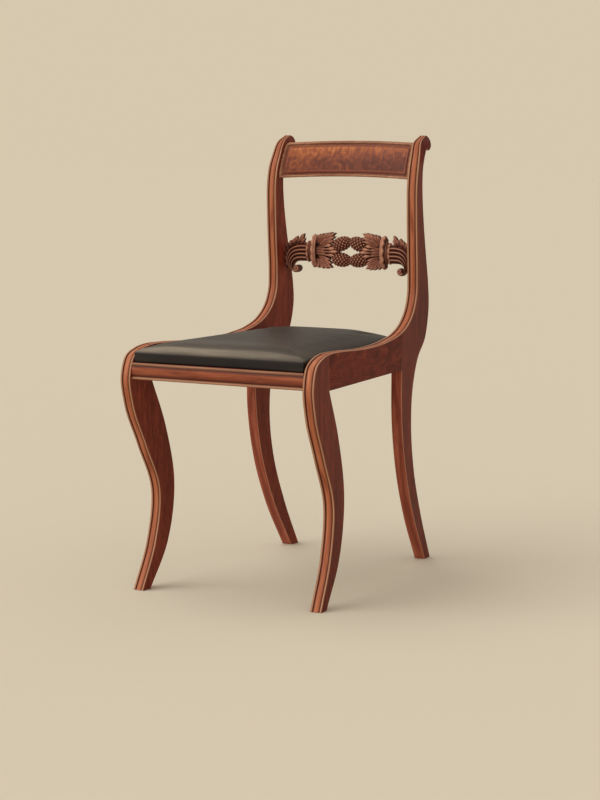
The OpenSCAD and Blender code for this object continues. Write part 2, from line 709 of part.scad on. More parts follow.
// Loose seat: its outside, then its frame
seat_y0 = front_rail_y + seat_setback;
seat_y1 = rear_rail_y - seat_gap;
function seat_x(y) = inner_x(y) - seat_gap / cos(cant);
seat_z = seat_rest_z + seat_lift;
frame_z = seat_z + cover_t;
frame_top_z = frame_z + seat_frame_t;
frame_in = cover_t + draw_in + 0.2;
frame_y0 = seat_y0 + frame_in;
frame_y1 = seat_y1 - frame_in;
function frame_x(y) = seat_x(y) - frame_in / cos(cant);
seat_front_y = frame_y0 + seat_end_w;
seat_back_y = frame_y1 - seat_end_w;
seat_tenon_l = 24;
seat_tenon_t = 7;
seat_tenon_in = 8;
seat_corner_r = 7;
module seat_plan(y0, y1, in) {
  polygon([[in - frame_x(y0), y0], [frame_x(y0) - in, y0],
    [frame_x(y1) - in, y1], [in - frame_x(y1), y1]]);
}
// Plan of a side piece between two places, narrowed by e along each edge
module seat_side_plan(y0, y1, e) {
  polygon([[frame_x(y0) - e, y0], [frame_x(y1) - e, y1],
    [frame_x(y1) - seat_side_w + e, y1], [frame_x(y0) - seat_side_w + e, y0]]);
}
module seat_tenons(s, g) {
  mirror([s < 0 ? 1 : 0, 0, 0])
    translate([0, 0, frame_z + (seat_frame_t - seat_tenon_t) / 2 - g])
      linear_extrude(seat_tenon_t + 2 * g) {
        seat_side_plan(seat_front_y - seat_tenon_l - g, seat_front_y + 3, seat_tenon_in - g);
        seat_side_plan(seat_back_y - 3, seat_back_y + seat_tenon_l + g, seat_tenon_in - g);
      }
}
module seat_frame_end(y0, y1) {
  color(beech) difference() {
    translate([0, 0, frame_z]) linear_extrude(seat_frame_t) seat_plan(y0, y1, 0);
    // Corners eased under the cover
    for (s = [-1, 1]) for (y = [frame_y0, frame_y1])
      translate([s * frame_x(y), y, frame_z]) rotate([0, 0, 45])
        cube([seat_corner_r, seat_corner_r, 4 * seat_frame_t], center = true);
    for (s = [-1, 1]) seat_tenons(s, joint_gap);
  }
}
module seat_frame_side(s) {
  color(beech) {
    mirror([s < 0 ? 1 : 0, 0, 0]) translate([0, 0, frame_z]) linear_extrude(seat_frame_t)
      seat_side_plan(seat_front_y, seat_back_y, 0);
    seat_tenons(s, 0);
  }
}
// Webbing is tacked on top of the frame, front to back first and then across
web_lap = 26;
// The outer straps front to back just lap over the side pieces
web_pitch = frame_x(seat_back_y) - seat_side_w + 1.5 - web_w / 2;
web_ys = [for (q = [0.16, 0.5, 0.84]) blend(seat_front_y, seat_back_y, q)];
web_y0 = seat_front_y - web_lap;
web_y1 = seat_back_y + web_lap;
module web_long(i) {
  color(jute) translate([i * web_pitch - web_w / 2, web_y0, frame_top_z])
    cube([web_w, web_y1 - web_y0, web_t]);
}
function web_half(y) = frame_x(y + web_w / 2) - seat_side_w + web_lap;
module web_cross(y) {
  color(jute) translate([-web_half(y), y - web_w / 2, frame_top_z + web_t])
    cube([2 * web_half(y), web_w, web_t]);
}
tack_head_t = 0.8;
tack_shank_l = 8;
// A tack pointing down, its head's underside at the origin
module tack() {
  cylinder(r = tack_r, h = tack_head_t, $fn = 16);
  translate([0, 0, -tack_shank_l]) cylinder(r = 0.8, h = tack_shank_l + 0.1, $fn = 13);
}
web_tack_in = 8;
module web_tacks() {
  row = [-0.32, 0, 0.32] * web_w;
  color(iron) {
    for (i = [-1:1]) for (r = row) for (y = [web_y0 + web_tack_in, web_y1 - web_tack_in])
      translate([i * web_pitch + r, y, frame_top_z + web_t]) tack();
    for (y = web_ys) for (r = row) for (s = [-1, 1])
      translate([s * (web_half(y) - web_tack_in), y + r, frame_top_z + 2 * web_t]) tack();
  }
}
hessian_z = frame_top_z + 2 * web_t + tack_head_t;
module base_hessian() {
  color(jute) translate([0, 0, hessian_z]) linear_extrude(hessian_t)
    seat_plan(frame_y0 + 9, frame_y1 - 9, 9);
}

// Points round the seat's edge with their outward directions, sides drawn in between corners
side_steps = 6;
corner_steps = 3;
seat_corners = [[-seat_x(seat_y0), seat_y0], [seat_x(seat_y0), seat_y0],
  [seat_x(seat_y1), seat_y1], [-seat_x(seat_y1), seat_y1]];
seat_edge = flat([for (i = [0:3])
  let (c = seat_corners[i], d = seat_corners[(i + 1) % 4], along = unit(d - c),
       out = [along.y, -along.x], before = unit(c - seat_corners[(i + 3) % 4]),
       out0 = [before.y, -before.x], r = seat_corner_r,
       centre = c - r * (out + out0) / (1 + out * out0),
       start = centre + r * out, end = d - r * along)
  concat(
    [for (k = [0:corner_steps - 1])
      let (dir = unit(blend(out0, out, (k + 0.5) / corner_steps))) [centre + r * dir, dir]],
    [for (k = [0:side_steps]) let (t = k / side_steps)
      [blend(start, end, t) - out * draw_in * sin(180 * t), out]])]);
seat_centre = [0, blend(seat_y0, seat_y1, 0.5)];
edge_z = frame_top_z + seat_edge_h;
roll_in = 16;
roll_z = edge_z + seat_roll_h;
// A ring at a distance in from the edge, then shrunk towards the middle
function seat_ring(in, z, share = 1) = [for (e = seat_edge)
  let (q = blend(seat_centre, e[0] - in * e[1], share)) [q.x, q.y, z]];
// Share of the crown's rise at a place in the seat's plan
function crown(q) =
  let (u = q.x / (seat_x(q.y) - roll_in), v = (q.y - seat_centre.y) / (seat_centre.y - seat_y0 - roll_in))
  max(1 - u * u, 0) * max(1 - v * v, 0);
// The upholstery's skin at depth t, from the side's foot at z0 up over the roll to the crown
crown_rings = 6;
roll_angles = [0, 30, 60, 90];
function skin_rings(t, z0) = concat(
  [seat_ring(t, z0)],
  [for (a = roll_angles) seat_ring(t + (roll_in - t) * (1 - cos(a)), edge_z + (seat_roll_h - t) * sin(a))],
  [for (k = [crown_rings - 1:-1:1])
    [for (q = seat_ring(roll_in, roll_z - t, k / crown_rings)) q + [0, 0, crown_h * crown(q)]]]);
// A closed mesh from a first point through rings to a last point; the first rings, up to
// turned, run from the middle outwards
module ring_mesh(rings, first, last, turned = 0) {
  n = len(rings[0]);
  m = len(rings);
  end = 1 + m * n;
  faces = concat(
    [for (j = [0:n - 1]) [0, 1 + j, 1 + (j + 1) % n]],
    [for (i = [0:m - 2]) for (j = [0:n - 1]) each quad(1 + i * n + j, 1 + i * n + (j + 1) % n, n, i >= turned)],
    [for (j = [0:n - 1]) [end, 1 + (m - 1) * n + (j + 1) % n, 1 + (m - 1) * n + j]]);
  polyhedron(concat([first], flat(rings), [last]), faces);
}
function seat_top(t) = [seat_centre.x, seat_centre.y, roll_z - t + crown_h];
stuffing_in = cover_t + 0.15;
module seat_stuffing() {
  z0 = hessian_z + hessian_t;
  color(hair) ring_mesh(skin_rings(stuffing_in, z0), [seat_centre.x, seat_centre.y, z0], seat_top(stuffing_in));
}
module seat_cover() {
  inside = reversed(skin_rings(cover_t, frame_z));
  color(black_cloth) ring_mesh(concat(
      inside,
      [seat_ring(cover_return, frame_z), seat_ring(cover_return, seat_z)],
      skin_rings(0, seat_z)),
    seat_top(cover_t), seat_top(0), len(inside));
}
// Tacks through the cover's return into the seat frame, clear of rails, cleats and blocks
cover_tack_in = 26;
cover_tack_pitch = 24;
cover_tack_end = block_leg + 6;
module cover_tack_row(a, b, out) {
  along = unit(b - a);
  l = norm(b - a) - 2 * cover_tack_end;
  n = floor(l / cover_tack_pitch);
  for (k = [0:n]) {
    p = a + along * (cover_tack_end + l * k / n) - out * cover_tack_in;
    translate([p.x, p.y, seat_z]) mirror([0, 0, 1]) tack();
  }
}
module cover_tacks() {
  color(iron) for (i = [0:3]) {
    c = seat_corners[i];
    d = seat_corners[(i + 1) % 4];
    along = unit(d - c);
    cover_tack_row(c, d, [along.y, -along.x]);
  }
}

front_leg(-1);  // front_leg_left
front_leg(1);  // front_leg_right
rear_stile(-1);  // rear_stile_left
rear_stile(1);  // rear_stile_right
side_rail(-1);  // side_rail_left
side_rail(1);  // side_rail_right
front_rail();
rear_rail();
crest_rail();
crest_panel();
crest_bead(top_row - 1, top_row, 0, end_col);  // crest_bead_top
crest_bead(0, 1, 0, end_col);  // crest_bead_bottom
crest_bead(1, top_row - 1, 0, 1);  // crest_bead_left
crest_bead(1, top_row - 1, end_col - 1, end_col);  // crest_bead_right
stay_rail();
corner_block(-1, front_corner_y, 1);  // corner_block_front_left
corner_block(1, front_corner_y, 1);  // corner_block_front_right
corner_block(-1, rear_rail_y, -1);  // corner_block_rear_left
corner_block(1, rear_rail_y, -1);  // corner_block_rear_right
side_cleat(-1);  // seat_cleat_left
side_cleat(1);  // seat_cleat_right
back_cleat();  // seat_cleat_back
block_screws();
cleat_screws();
seat_frame_end(frame_y0, seat_front_y);  // seat_frame_front
seat_frame_end(seat_back_y, frame_y1);  // seat_frame_back
seat_frame_side(-1);  // seat_frame_left
seat_frame_side(1);  // seat_frame_right
web_long(-1);  // web_strap_long_left
web_long(0);  // web_strap_long_middle
web_long(1);  // web_strap_long_right
web_cross(web_ys[0]);  // web_strap_cross_front
web_cross(web_ys[1]);  // web_strap_cross_middle
web_cross(web_ys[2]);  // web_strap_cross_back
web_tacks();
base_hessian();
seat_stuffing();
seat_cover();
cover_tacks();
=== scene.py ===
"""Side chair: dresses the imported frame, in metres, +Z up, the sitter facing -Y."""

import math

import bmesh
import bpy
import numpy as np
from mathutils import Matrix, Vector
from mathutils.geometry import tessellate_polygon


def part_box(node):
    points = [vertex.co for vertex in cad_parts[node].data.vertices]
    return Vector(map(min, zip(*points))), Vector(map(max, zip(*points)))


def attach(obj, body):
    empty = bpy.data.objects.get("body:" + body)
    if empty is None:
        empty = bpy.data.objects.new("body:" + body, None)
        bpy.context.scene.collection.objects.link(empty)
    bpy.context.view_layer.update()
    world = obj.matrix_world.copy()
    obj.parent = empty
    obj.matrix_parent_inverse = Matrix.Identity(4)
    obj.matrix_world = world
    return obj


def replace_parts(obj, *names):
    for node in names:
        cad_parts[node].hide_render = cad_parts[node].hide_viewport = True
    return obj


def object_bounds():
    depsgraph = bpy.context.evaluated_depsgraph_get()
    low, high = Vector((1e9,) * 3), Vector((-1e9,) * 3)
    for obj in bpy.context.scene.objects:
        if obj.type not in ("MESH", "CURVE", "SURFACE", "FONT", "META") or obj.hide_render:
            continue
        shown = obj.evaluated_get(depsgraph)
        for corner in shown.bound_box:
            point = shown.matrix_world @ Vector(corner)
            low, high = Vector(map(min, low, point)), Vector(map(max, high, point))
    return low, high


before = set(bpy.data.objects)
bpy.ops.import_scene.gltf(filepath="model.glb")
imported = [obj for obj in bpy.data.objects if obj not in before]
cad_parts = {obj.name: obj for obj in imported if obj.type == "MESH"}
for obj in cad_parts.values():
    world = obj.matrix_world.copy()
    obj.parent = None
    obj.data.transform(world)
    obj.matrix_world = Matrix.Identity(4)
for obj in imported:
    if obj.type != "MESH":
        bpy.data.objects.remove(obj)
CAD_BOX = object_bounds()
MM = 0.001
# Points that a curve gets in each span between two given ones
STEPS = 12

# Driving sizes of the frame, in millimetres as they are drawn
HEIGHT, DEPTH, FRONT_W, TAPER_W, MEMBER_T = 849.0, 575.0, 406.0, 58.0, 22.5
FOOT_IN, FOOT_LEN, SHIN_IN, SHIN_DEPTH = 32.0, 25.0, 90.0, 46.0
RAIL_BOTTOM, RAIL_TOP, LEG_JOINT_IN, SIDE_RAIL_L = 398.0, 457.0, 67.0, 349.0
REAR_FOOT_LEN, REAR_LEG_DEPTH, STILE_IN, STILE_BULGE, STILE_DEPTH = 27.0, 46.0, 75.0, 67.0, 28.0
SCROLL_R, SCROLL_IN = 15.0, 59.0
CREST_H, CREST_DROP, CREST_T, CREST_SETBACK = 71.0, 15.0, 13.0, 11.0
CREST_LEAN, CREST_BOW, CREST_RISE, CREST_BEAD = 29.0, 22.0, 4.0, 5.0
STAY_Z, STAY_SETBACK, STAY_BOW, STAY_RISE, RIM_IN = 614.0, 36.0, 10.0, 3.0, 66.0


def blend(a, b, t):
    return a + (b - a) * t


def in_mm(corners):
    return [tuple(c / MM for c in corner) for corner in corners]


def set_all(target, **values):
    for key, value in values.items():
        setattr(target, key, value)


def curve(points, steps=STEPS):
    """Smooth curve through points, with tangents weighted by the spans' lengths."""
    p = [np.array(q, float) for q in points]
    n = len(p) - 1

    def tangent(i):
        a = p[1] - p[0] if i == 0 else p[i] - p[i - 1]
        b = p[n] - p[n - 1] if i == n else p[i + 1] - p[i]
        da, db = np.linalg.norm(a), np.linalg.norm(b)
        return (a * db / da + b * da / db) / (da + db)

    out = []
    for i in range(n):
        d = np.linalg.norm(p[i + 1] - p[i])
        m0, m1 = tangent(i) * d, tangent(i + 1) * d
        for j in range(steps):
            t = j / steps
            out.append((2 * t**3 - 3 * t**2 + 1) * p[i] + (t**3 - 2 * t**2 + t) * m0
                       + (3 * t**2 - 2 * t**3) * p[i + 1] + (t**3 - t**2) * m1)
    return out + [p[n]]


# Outline of a side frame in its own plane: v backwards along the frame, z up
KNEE = -DEPTH / 2
FOOT, SHIN, LEG_SEAM = KNEE + FOOT_IN, KNEE + SHIN_IN, KNEE + LEG_JOINT_IN
STILE_SEAM = LEG_SEAM + SIDE_RAIL_L
STILE = STILE_SEAM + STILE_IN
LEG_BACK, BULGE, STILE_BACK = STILE_SEAM + 5 + REAR_LEG_DEPTH, STILE + STILE_BULGE, STILE + STILE_DEPTH
REAR_FOOT = -KNEE - REAR_FOOT_LEN
SCROLL, SCROLL_Z = STILE + SCROLL_IN, HEIGHT - SCROLL_R
CREST_TOP = HEIGHT - CREST_DROP
CREST_BOTTOM = CREST_TOP - CREST_H
STILE_SEAM_Z = RAIL_TOP + 13.5
# The legs' heights go by the rails' underside
Z = RAIL_BOTTOM

LEG_WAY = [(FOOT, 0), (blend(FOOT, SHIN, 0.74), 0.22 * Z), (SHIN, 0.46 * Z),
           (blend(SHIN, KNEE, 0.465), 0.69 * Z), (blend(SHIN, KNEE, 0.91), 0.9 * Z), (KNEE, Z + 14),
           (KNEE + 14, RAIL_TOP - 11), (KNEE + 43, RAIL_TOP + 2), (LEG_SEAM, RAIL_TOP + 6)]
RAIL_WAY = [(blend(LEG_SEAM, STILE_SEAM, q), RAIL_TOP + h)
            for q, h in ((0.15, 6), (0.41, 1), (0.62, 0), (0.83, 4), (1, STILE_SEAM_Z - RAIL_TOP))]
STILE_WAY = [(STILE - 41, STILE_SEAM_Z + 13), (STILE - 10, STILE_SEAM_Z + 39), (STILE + 4, STILE_SEAM_Z + 69),
             (STILE + 6, STILE_SEAM_Z + 105), (STILE + 3, blend(STILE_SEAM_Z, CREST_BOTTOM, 0.55)),
             (STILE, blend(STILE_SEAM_Z, CREST_BOTTOM, 0.78)), (STILE + 1, CREST_BOTTOM - 6),
             (STILE + 7, CREST_BOTTOM + 22), (STILE + 17, CREST_BOTTOM + 46), (STILE + 31, CREST_TOP + 1),
             (SCROLL, HEIGHT)]
LEG_BACK_WAY = [(FOOT + FOOT_LEN, 0), (SHIN + SHIN_DEPTH - 24, 0.2 * Z), (SHIN + SHIN_DEPTH, 0.47 * Z),
                (SHIN + SHIN_DEPTH - 27, 0.77 * Z), (LEG_SEAM, Z)]
REAR_FRONT_WAY = [(REAR_FOOT, 0), (blend(STILE_SEAM, REAR_FOOT, 0.51), 0.25 * Z),
                  (blend(STILE_SEAM, REAR_FOOT, 0.18), 0.5 * Z), (STILE_SEAM + 2, 0.76 * Z), (STILE_SEAM, Z)]
REAR_BACK_WAY = [(REAR_FOOT + REAR_FOOT_LEN, 0), (blend(LEG_BACK, REAR_FOOT + REAR_FOOT_LEN, 0.5), 0.25 * Z),
                 (blend(LEG_BACK, REAR_FOOT + REAR_FOOT_LEN, 0.13), 0.5 * Z), (LEG_BACK, 0.74 * Z),
                 (LEG_BACK + 6, Z - 46), (LEG_BACK + 34, Z + 16), (BULGE - 18, RAIL_TOP - 6),
                 (BULGE - 6, RAIL_TOP + 23), (BULGE, RAIL_TOP + 54), (BULGE - 3, RAIL_TOP + 95),
                 (STILE_BACK + 25, RAIL_TOP + 145), (STILE_BACK + 13, RAIL_TOP + 198),
                 (STILE_BACK + 3, blend(STILE_SEAM_Z, CREST_BOTTOM, 0.83)), (STILE_BACK, CREST_BOTTOM - 3),
                 (STILE_BACK + 2.5, CREST_BOTTOM + 22), (STILE_BACK + 11, CREST_BOTTOM + 45)]


# Materials
def srgb(r, g, b):
    """A colour named by its sRGB values, 0 to 255, as linear RGBA."""
    return tuple(((c / 255 + 0.055) / 1.055) ** 2.4 for c in (r, g, b)) + (1.0,)


class Nodes:
    """A material with a Principled shader, and short ways to add nodes to it."""

    def __init__(self, name, **sockets):
        self.mat = bpy.data.materials.new(name)
        self.mat.use_nodes = True
        self.tree = self.mat.node_tree
        self.shader = self.tree.nodes["Principled BSDF"]
        for key, value in sockets.items():
            self.shader.inputs[key.replace("_", " ")].default_value = value

    def add(self, kind, links=None, **props):
        """A new node's first output. links gives inputs a socket or a value, and props are the node's own."""
        node = self.tree.nodes.new("ShaderNode" + kind)
        set_all(node, **props)
        for key, value in (links or {}).items():
            if isinstance(value, bpy.types.NodeSocket):
                self.tree.links.new(value, node.inputs[key])
            else:
                node.inputs[key].default_value = value
        return node.outputs[0]

    def base(self, source="Object"):
        return self.add("TexCoord").node.outputs[source]

    def place(self, source="Object"):
        """The coordinates as separate values."""
        return self.add("SeparateXYZ", {"Vector": self.base(source)}).node.outputs

    def coords(self, scale=(1, 1, 1), turn=(0, 0, 0), source="Object"):
        return self.add("Mapping", {"Vector": self.base(source), "Scale": scale, "Rotation": turn})

    def noise(self, vector, scale, detail=3.0, rough=0.5, distort=0.0):
        return self.add("TexNoise", {"Vector": vector, "Scale": scale, "Detail": detail, "Roughness": rough,
                                     "Distortion": distort})

    def streaks(self, scale, detail, rough, distort=0.0, turn=(0, 0, 0), source="Object"):
        """Noise drawn out along the axes whose scale is small."""
        return self.noise(self.coords(scale, turn, source), 1.0, detail, rough, distort)

    def waves(self, axis, scale, distort, detail=2.0, detail_scale=1.0):
        return self.add("TexWave", {"Vector": self.coords(), "Scale": scale, "Distortion": distort,
                                    "Detail": detail, "Detail Scale": detail_scale}, bands_direction=axis)

    def ramp(self, value, stops):
        out = self.add("ValToRGB", {"Fac": value})
        elements = out.node.color_ramp.elements
        while len(elements) < len(stops):
            elements.new(1.0)
        for e, (position, colour) in zip(elements, stops):
            e.position = position
            e.color = colour
        return out

    def math(self, operation, a, b=0.0):
        return self.add("Math", {0: a, 1: b}, operation=operation)

    def mix(self, fac, a, b):
        return self.add("MixRGB", {"Fac": fac, "Color1": a, "Color2": b})

    def span(self, value, low, high, to_low=0.0, to_high=1.0):
        return self.add("MapRange", {"Value": value, 1: low, 2: high, 3: to_low, 4: to_high})

    def tint(self, colour, tone, value, low, high, amount=1.0):
        """The colour with more of tone as value goes from low to high, up to amount."""
        return self.mix(self.span(value, low, high, 0.0, amount), colour, tone)

    def from_middle(self, share):
        """0 in the middle of a share from 0 to 1, and 1 at either end."""
        return self.math("MULTIPLY", self.math("ABSOLUTE", self.math("SUBTRACT", share, 0.5)), 2.0)

    def finished(self, colour, rough=None, bump=None):
        """The material, given its colour, its roughness as (noise, lowest, highest) and its bump as (height,
        strength, distance)."""
        links = {"Base Color": colour}
        if rough:
            links["Roughness"] = self.span(rough[0], 0.3, 0.7, rough[1], rough[2])
        if bump:
            links["Normal"] = self.add("Bump", dict(zip(("Height", "Strength", "Distance"), bump)))
        for key, value in links.items():
            self.tree.links.new(value, self.shader.inputs[key])
        return self.mat


def wood(name, grain, colours, figure, swirl, rough=0.46, relief=False, lines=0.5, shine=0.16):
    """Waxed wood. grain is the scale of its streaks along X, Y and Z, smallest along the grain; colours run
    from the dark to the light of its figure, and lines is how strongly its fine streaks show."""
    m = Nodes(name, Specular_IOR_Level=shine)

    def grained(finer, *how):
        return m.streaks(tuple(g * finer for g in grain), *how)

    warp = grained(1, 4, 0.6, swirl)
    ribbon = grained(0.35, 3, 0.5, 1.5, (0.3, 0.2, 0.5))
    streaks = grained(9, 5, 0.7, 0.3)
    pores = grained(30, 2, 0.6)
    tone = m.mix(lines, m.mix(figure, warp, ribbon), streaks)
    colour = m.ramp(tone, list(zip((0.39, 0.5, 0.61), colours)))
    colour = m.tint(colour, colours[0], pores, 0.6, 0.76, 0.5)
    if relief:
        height = m.add("Attribute", attribute_name="relief").node.outputs["Fac"]
        # Painted shade in the carving's hollows and painted highlight on its ridges, by the relief height
        colour = m.tint(colour, srgb(42, 20, 13), height, 0.56, 0.08, 0.95)
        colour = m.tint(colour, srgb(198, 144, 118), height, 0.56, 1.0, 0.8)
    return m.finished(colour, (streaks, rough - 0.06, rough + 0.1), (pores, 0.25, 0.00015))


# Dark, middle and light of each wood
SIDE = (srgb(68, 24, 16), srgb(100, 38, 26), srgb(130, 57, 40))
# SIDE_LIT: the side's wood painted lighter, as painted light on the left boards' inner faces
SIDE_LIT = (srgb(79, 31, 21), srgb(114, 47, 32), srgb(145, 67, 47))
# REED: the same mahogany painted lighter and more orange for the bands, as painted light on the front faces
REED = (srgb(126, 62, 38), srgb(166, 94, 62), srgb(192, 126, 90))
# REED_SHADED: the reed's colours painted darker for the front rail, as painted shade
REED_SHADED = (srgb(104, 46, 28), srgb(144, 73, 45), srgb(174, 102, 67))
CARVED = (srgb(78, 36, 26), srgb(110, 56, 41), srgb(136, 78, 58))
CREST = (srgb(84, 42, 28), srgb(114, 64, 44), srgb(138, 86, 60))
BEADING = (srgb(122, 76, 56), srgb(152, 104, 78), srgb(176, 130, 102))
BEECH = (srgb(150, 112, 72), srgb(186, 148, 102), srgb(208, 174, 130))


def band_wood(name, reed=REED, low=0.0, bead=1.0):
    """The moulded band. Its beads carry a painted highlight by the share bead; painted shade lies in the
    quirks and on the reed's flanks, and by the share low towards V = 0; a painted dark line runs along the
    beads' outer edges. U is metres along it and V the share across."""
    m = Nodes(name, Specular_IOR_Level=0.2)
    across = m.place("UV")[1]
    streaks = m.streaks((7, 34, 1), 5, 0.65, 0.4, source="UV")
    broad = m.streaks((12, 2.5, 1), 3, 0.5, 0.8, source="UV")
    pores = m.streaks((70, 180, 1), 2, 0.6, source="UV")
    edge = m.from_middle(across)
    colour = m.ramp(m.mix(0.5, streaks, broad), list(zip((0.36, 0.5, 0.64), reed)))
    # Painted shade, darker towards V = 0 by the share low
    colour = m.tint(colour, srgb(84, 38, 26), across, 0.66, 0.2, low)
    # Painted shade on the reed's flanks and, darkest, in the quirks
    colour = m.tint(colour, srgb(84, 36, 25), edge, 0.3, 0.53, 0.85)
    colour = m.tint(colour, srgb(70, 30, 21), edge, 0.53, 0.6)
    # Painted highlight on the beads, by the share bead
    painted_bead_highlight = m.ramp(streaks, [(0.35, srgb(150, 100, 74)), (0.65, srgb(192, 144, 112))])
    colour = m.tint(colour, painted_bead_highlight, edge, 0.655, 0.71, bead)
    # Painted dark line along the beads' outer edges
    colour = m.tint(colour, srgb(92, 54, 38), edge, 0.90, 0.97, 0.6)
    colour = m.tint(colour, reed[0], pores, 0.6, 0.8, 0.4)
    return m.finished(colour, (streaks, 0.4, 0.56), (pores, 0.2, 0.00015))


def narrow_wood():
    """A board's narrow face, streaked along it, painted lighter than the side wood as painted light, with a
    painted highlight along its two arrises. U is metres along it and V the share across."""
    m = Nodes("mahogany_narrow_face", Specular_IOR_Level=0.1)
    streaks = m.streaks((6, 22, 1), 5, 0.65, 0.4, source="UV")
    broad = m.streaks((9, 1.5, 1), 3, 0.5, 0.6, source="UV")
    # The side's mahogany painted lighter, as painted light on the narrow faces
    colour = m.ramp(m.mix(0.5, streaks, broad),
                    [(0.38, srgb(98, 42, 30)), (0.5, srgb(138, 70, 52)), (0.62, srgb(168, 96, 74))])
    edge = m.from_middle(m.place("UV")[1])
    # Painted highlight along both arrises
    return m.finished(m.tint(colour, srgb(184, 134, 108), edge, 0.86, 0.95, 0.8), (streaks, 0.42, 0.58))


def veneer():
    """Flame-figured panel: slanting flames, with painted light making it orange at its upper left and painted
    shade making it dark at its lower edge, and a fine light line let in round it. U and V are the shares
    across the crest and up it."""
    m = Nodes("mahogany_flame_veneer", Specular_IOR_Level=0.22)
    u, v, _ = m.place("UV")
    flame = m.streaks((13, 3.4, 1), 4, 0.6, 1.4, (0, 0, -0.9), "UV")
    curl = m.streaks((44, 5, 1), 3, 0.6, 0.7, (0, 0, -0.35), "UV")
    pores = m.streaks((160, 40, 1), 2, 0.6, source="UV")
    figure = m.mix(0.4, flame, curl)
    # Painted light and shade: lighter towards the top and the left, darker at the lower edge
    fall = m.math("ADD", m.span(v, 0.42, 0.92, 0.0, 0.34), m.math("MULTIPLY", u, -0.16))
    tone = m.math("ADD", m.math("MULTIPLY", figure, 1.1), m.math("SUBTRACT", fall, 0.12))
    colour = m.ramp(tone, [(0.26, srgb(88, 42, 30)), (0.42, srgb(114, 58, 40)), (0.58, srgb(150, 82, 48)),
                           (0.76, srgb(190, 118, 68))])
    # Twice the share of its height from the nearest edge, for the line let in and the dark border outside it;
    # the crest is 4.3 times as long as high
    du, dv = [m.math("SUBTRACT", 1.0, m.from_middle(share)) for share in (u, v)]
    near = m.math("MINIMUM", m.math("MULTIPLY", du, 4.3), dv)
    colour = m.tint(colour, srgb(104, 44, 30), near, 0.38, 0.33, 0.7)
    line = m.math("MULTIPLY", m.span(near, 0.32, 0.34), m.span(near, 0.38, 0.36))
    colour = m.mix(m.math("MULTIPLY", line, 0.3), colour, srgb(180, 112, 78))
    colour = m.tint(colour, srgb(84, 34, 24), pores, 0.6, 0.8, 0.35)
    return m.finished(colour, (curl, 0.5, 0.62), (pores, 0.15, 0.0001))


# The loose seat's box, the height of its sides, and the places of its front and of its roll
SEAT_LOW, SEAT_HIGH = in_mm(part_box("seat_cover"))
SEAT_SIDE_H = 21.0
SEAT_FRONT, SEAT_EDGE = SEAT_LOW[1], SEAT_LOW[2] + SEAT_SIDE_H


def haircloth():
    """Black horsehair cloth: a fine lengthwise rib, and a painted highlight where it rolls over the front
    edge.
    """
    m = Nodes("black_haircloth", Sheen_Weight=0.05, Sheen_Roughness=0.4, Sheen_Tint=srgb(176, 158, 136),
              Specular_IOR_Level=0.22)
    rib = m.waves("X", 480.0, 0.6, 1.0, 30.0)
    cross = m.waves("Y", 220.0, 0.4)
    slub = m.streaks((6, 160, 30), 4, 0.6)
    cloud = m.noise(m.coords(), 7.0, 3, 0.5)
    colour = m.ramp(m.mix(0.5, slub, cloud),
                    [(0.35, srgb(18, 14, 13)), (0.52, srgb(33, 27, 24)), (0.68, srgb(62, 53, 46))])
    x, y, z = m.place()
    # Painted highlight along the front roll: strongest on the roll, weaker over a wide band behind it,
    # stronger towards the left and broken up by the cloth's slubs
    front = m.span(y, (SEAT_FRONT + 30) * MM, (SEAT_FRONT + 5) * MM)
    wide_highlight = m.span(y, (SEAT_FRONT + 100) * MM, (SEAT_FRONT + 15) * MM, 0.0, 0.2)
    painted_highlight = m.math("MAXIMUM", m.math("MULTIPLY", front, front), wide_highlight)
    for share in (m.span(z, (SEAT_EDGE - 4) * MM, (SEAT_EDGE + 6) * MM), m.span(x, -0.17, 0.17, 1.0, 0.55),
                  m.span(m.mix(0.3, slub, cloud), 0.38, 0.6, 0.5, 1.0)):
        painted_highlight = m.math("MULTIPLY", painted_highlight, share)
    colour = m.mix(painted_highlight, colour, srgb(182, 166, 146))
    # The side below the roll hangs in its own shade
    colour = m.tint(colour, srgb(20, 15, 14), z, (SEAT_EDGE - 3) * MM, (SEAT_EDGE - 9) * MM, 0.2)
    weave = m.math("ADD", m.math("MULTIPLY", rib, 0.7), m.math("MULTIPLY", cross, 0.3))
    return m.finished(colour, (slub, 0.42, 0.56), (weave, 0.2, 0.0003))


def woven(name, dark, light, pitch):
    """Plain-woven jute: threads over and under, pitch metres apart."""
    m = Nodes(name, Roughness=0.85, Sheen_Weight=0.15)
    thread = m.math("MAXIMUM", *[m.waves(axis, 0.05 / pitch, 1.2) for axis in "XY"])
    fuzz = m.noise(m.coords(), 900.0, 3, 0.7)
    colour = m.ramp(m.mix(0.4, thread, fuzz), [(0.25, dark), (0.75, light)])
    return m.finished(colour, bump=(m.mix(0.3, thread, fuzz), 0.5, pitch * 0.3))


def iron():
    m = Nodes("blued_iron", Metallic=0.85)
    spots = m.noise(m.coords(), 600.0, 4, 0.7)
    colour = m.ramp(spots, [(0.3, srgb(46, 42, 40)), (0.7, srgb(92, 84, 78))])
    return m.finished(colour, (spots, 0.35, 0.6), (spots, 0.2, 0.0001))


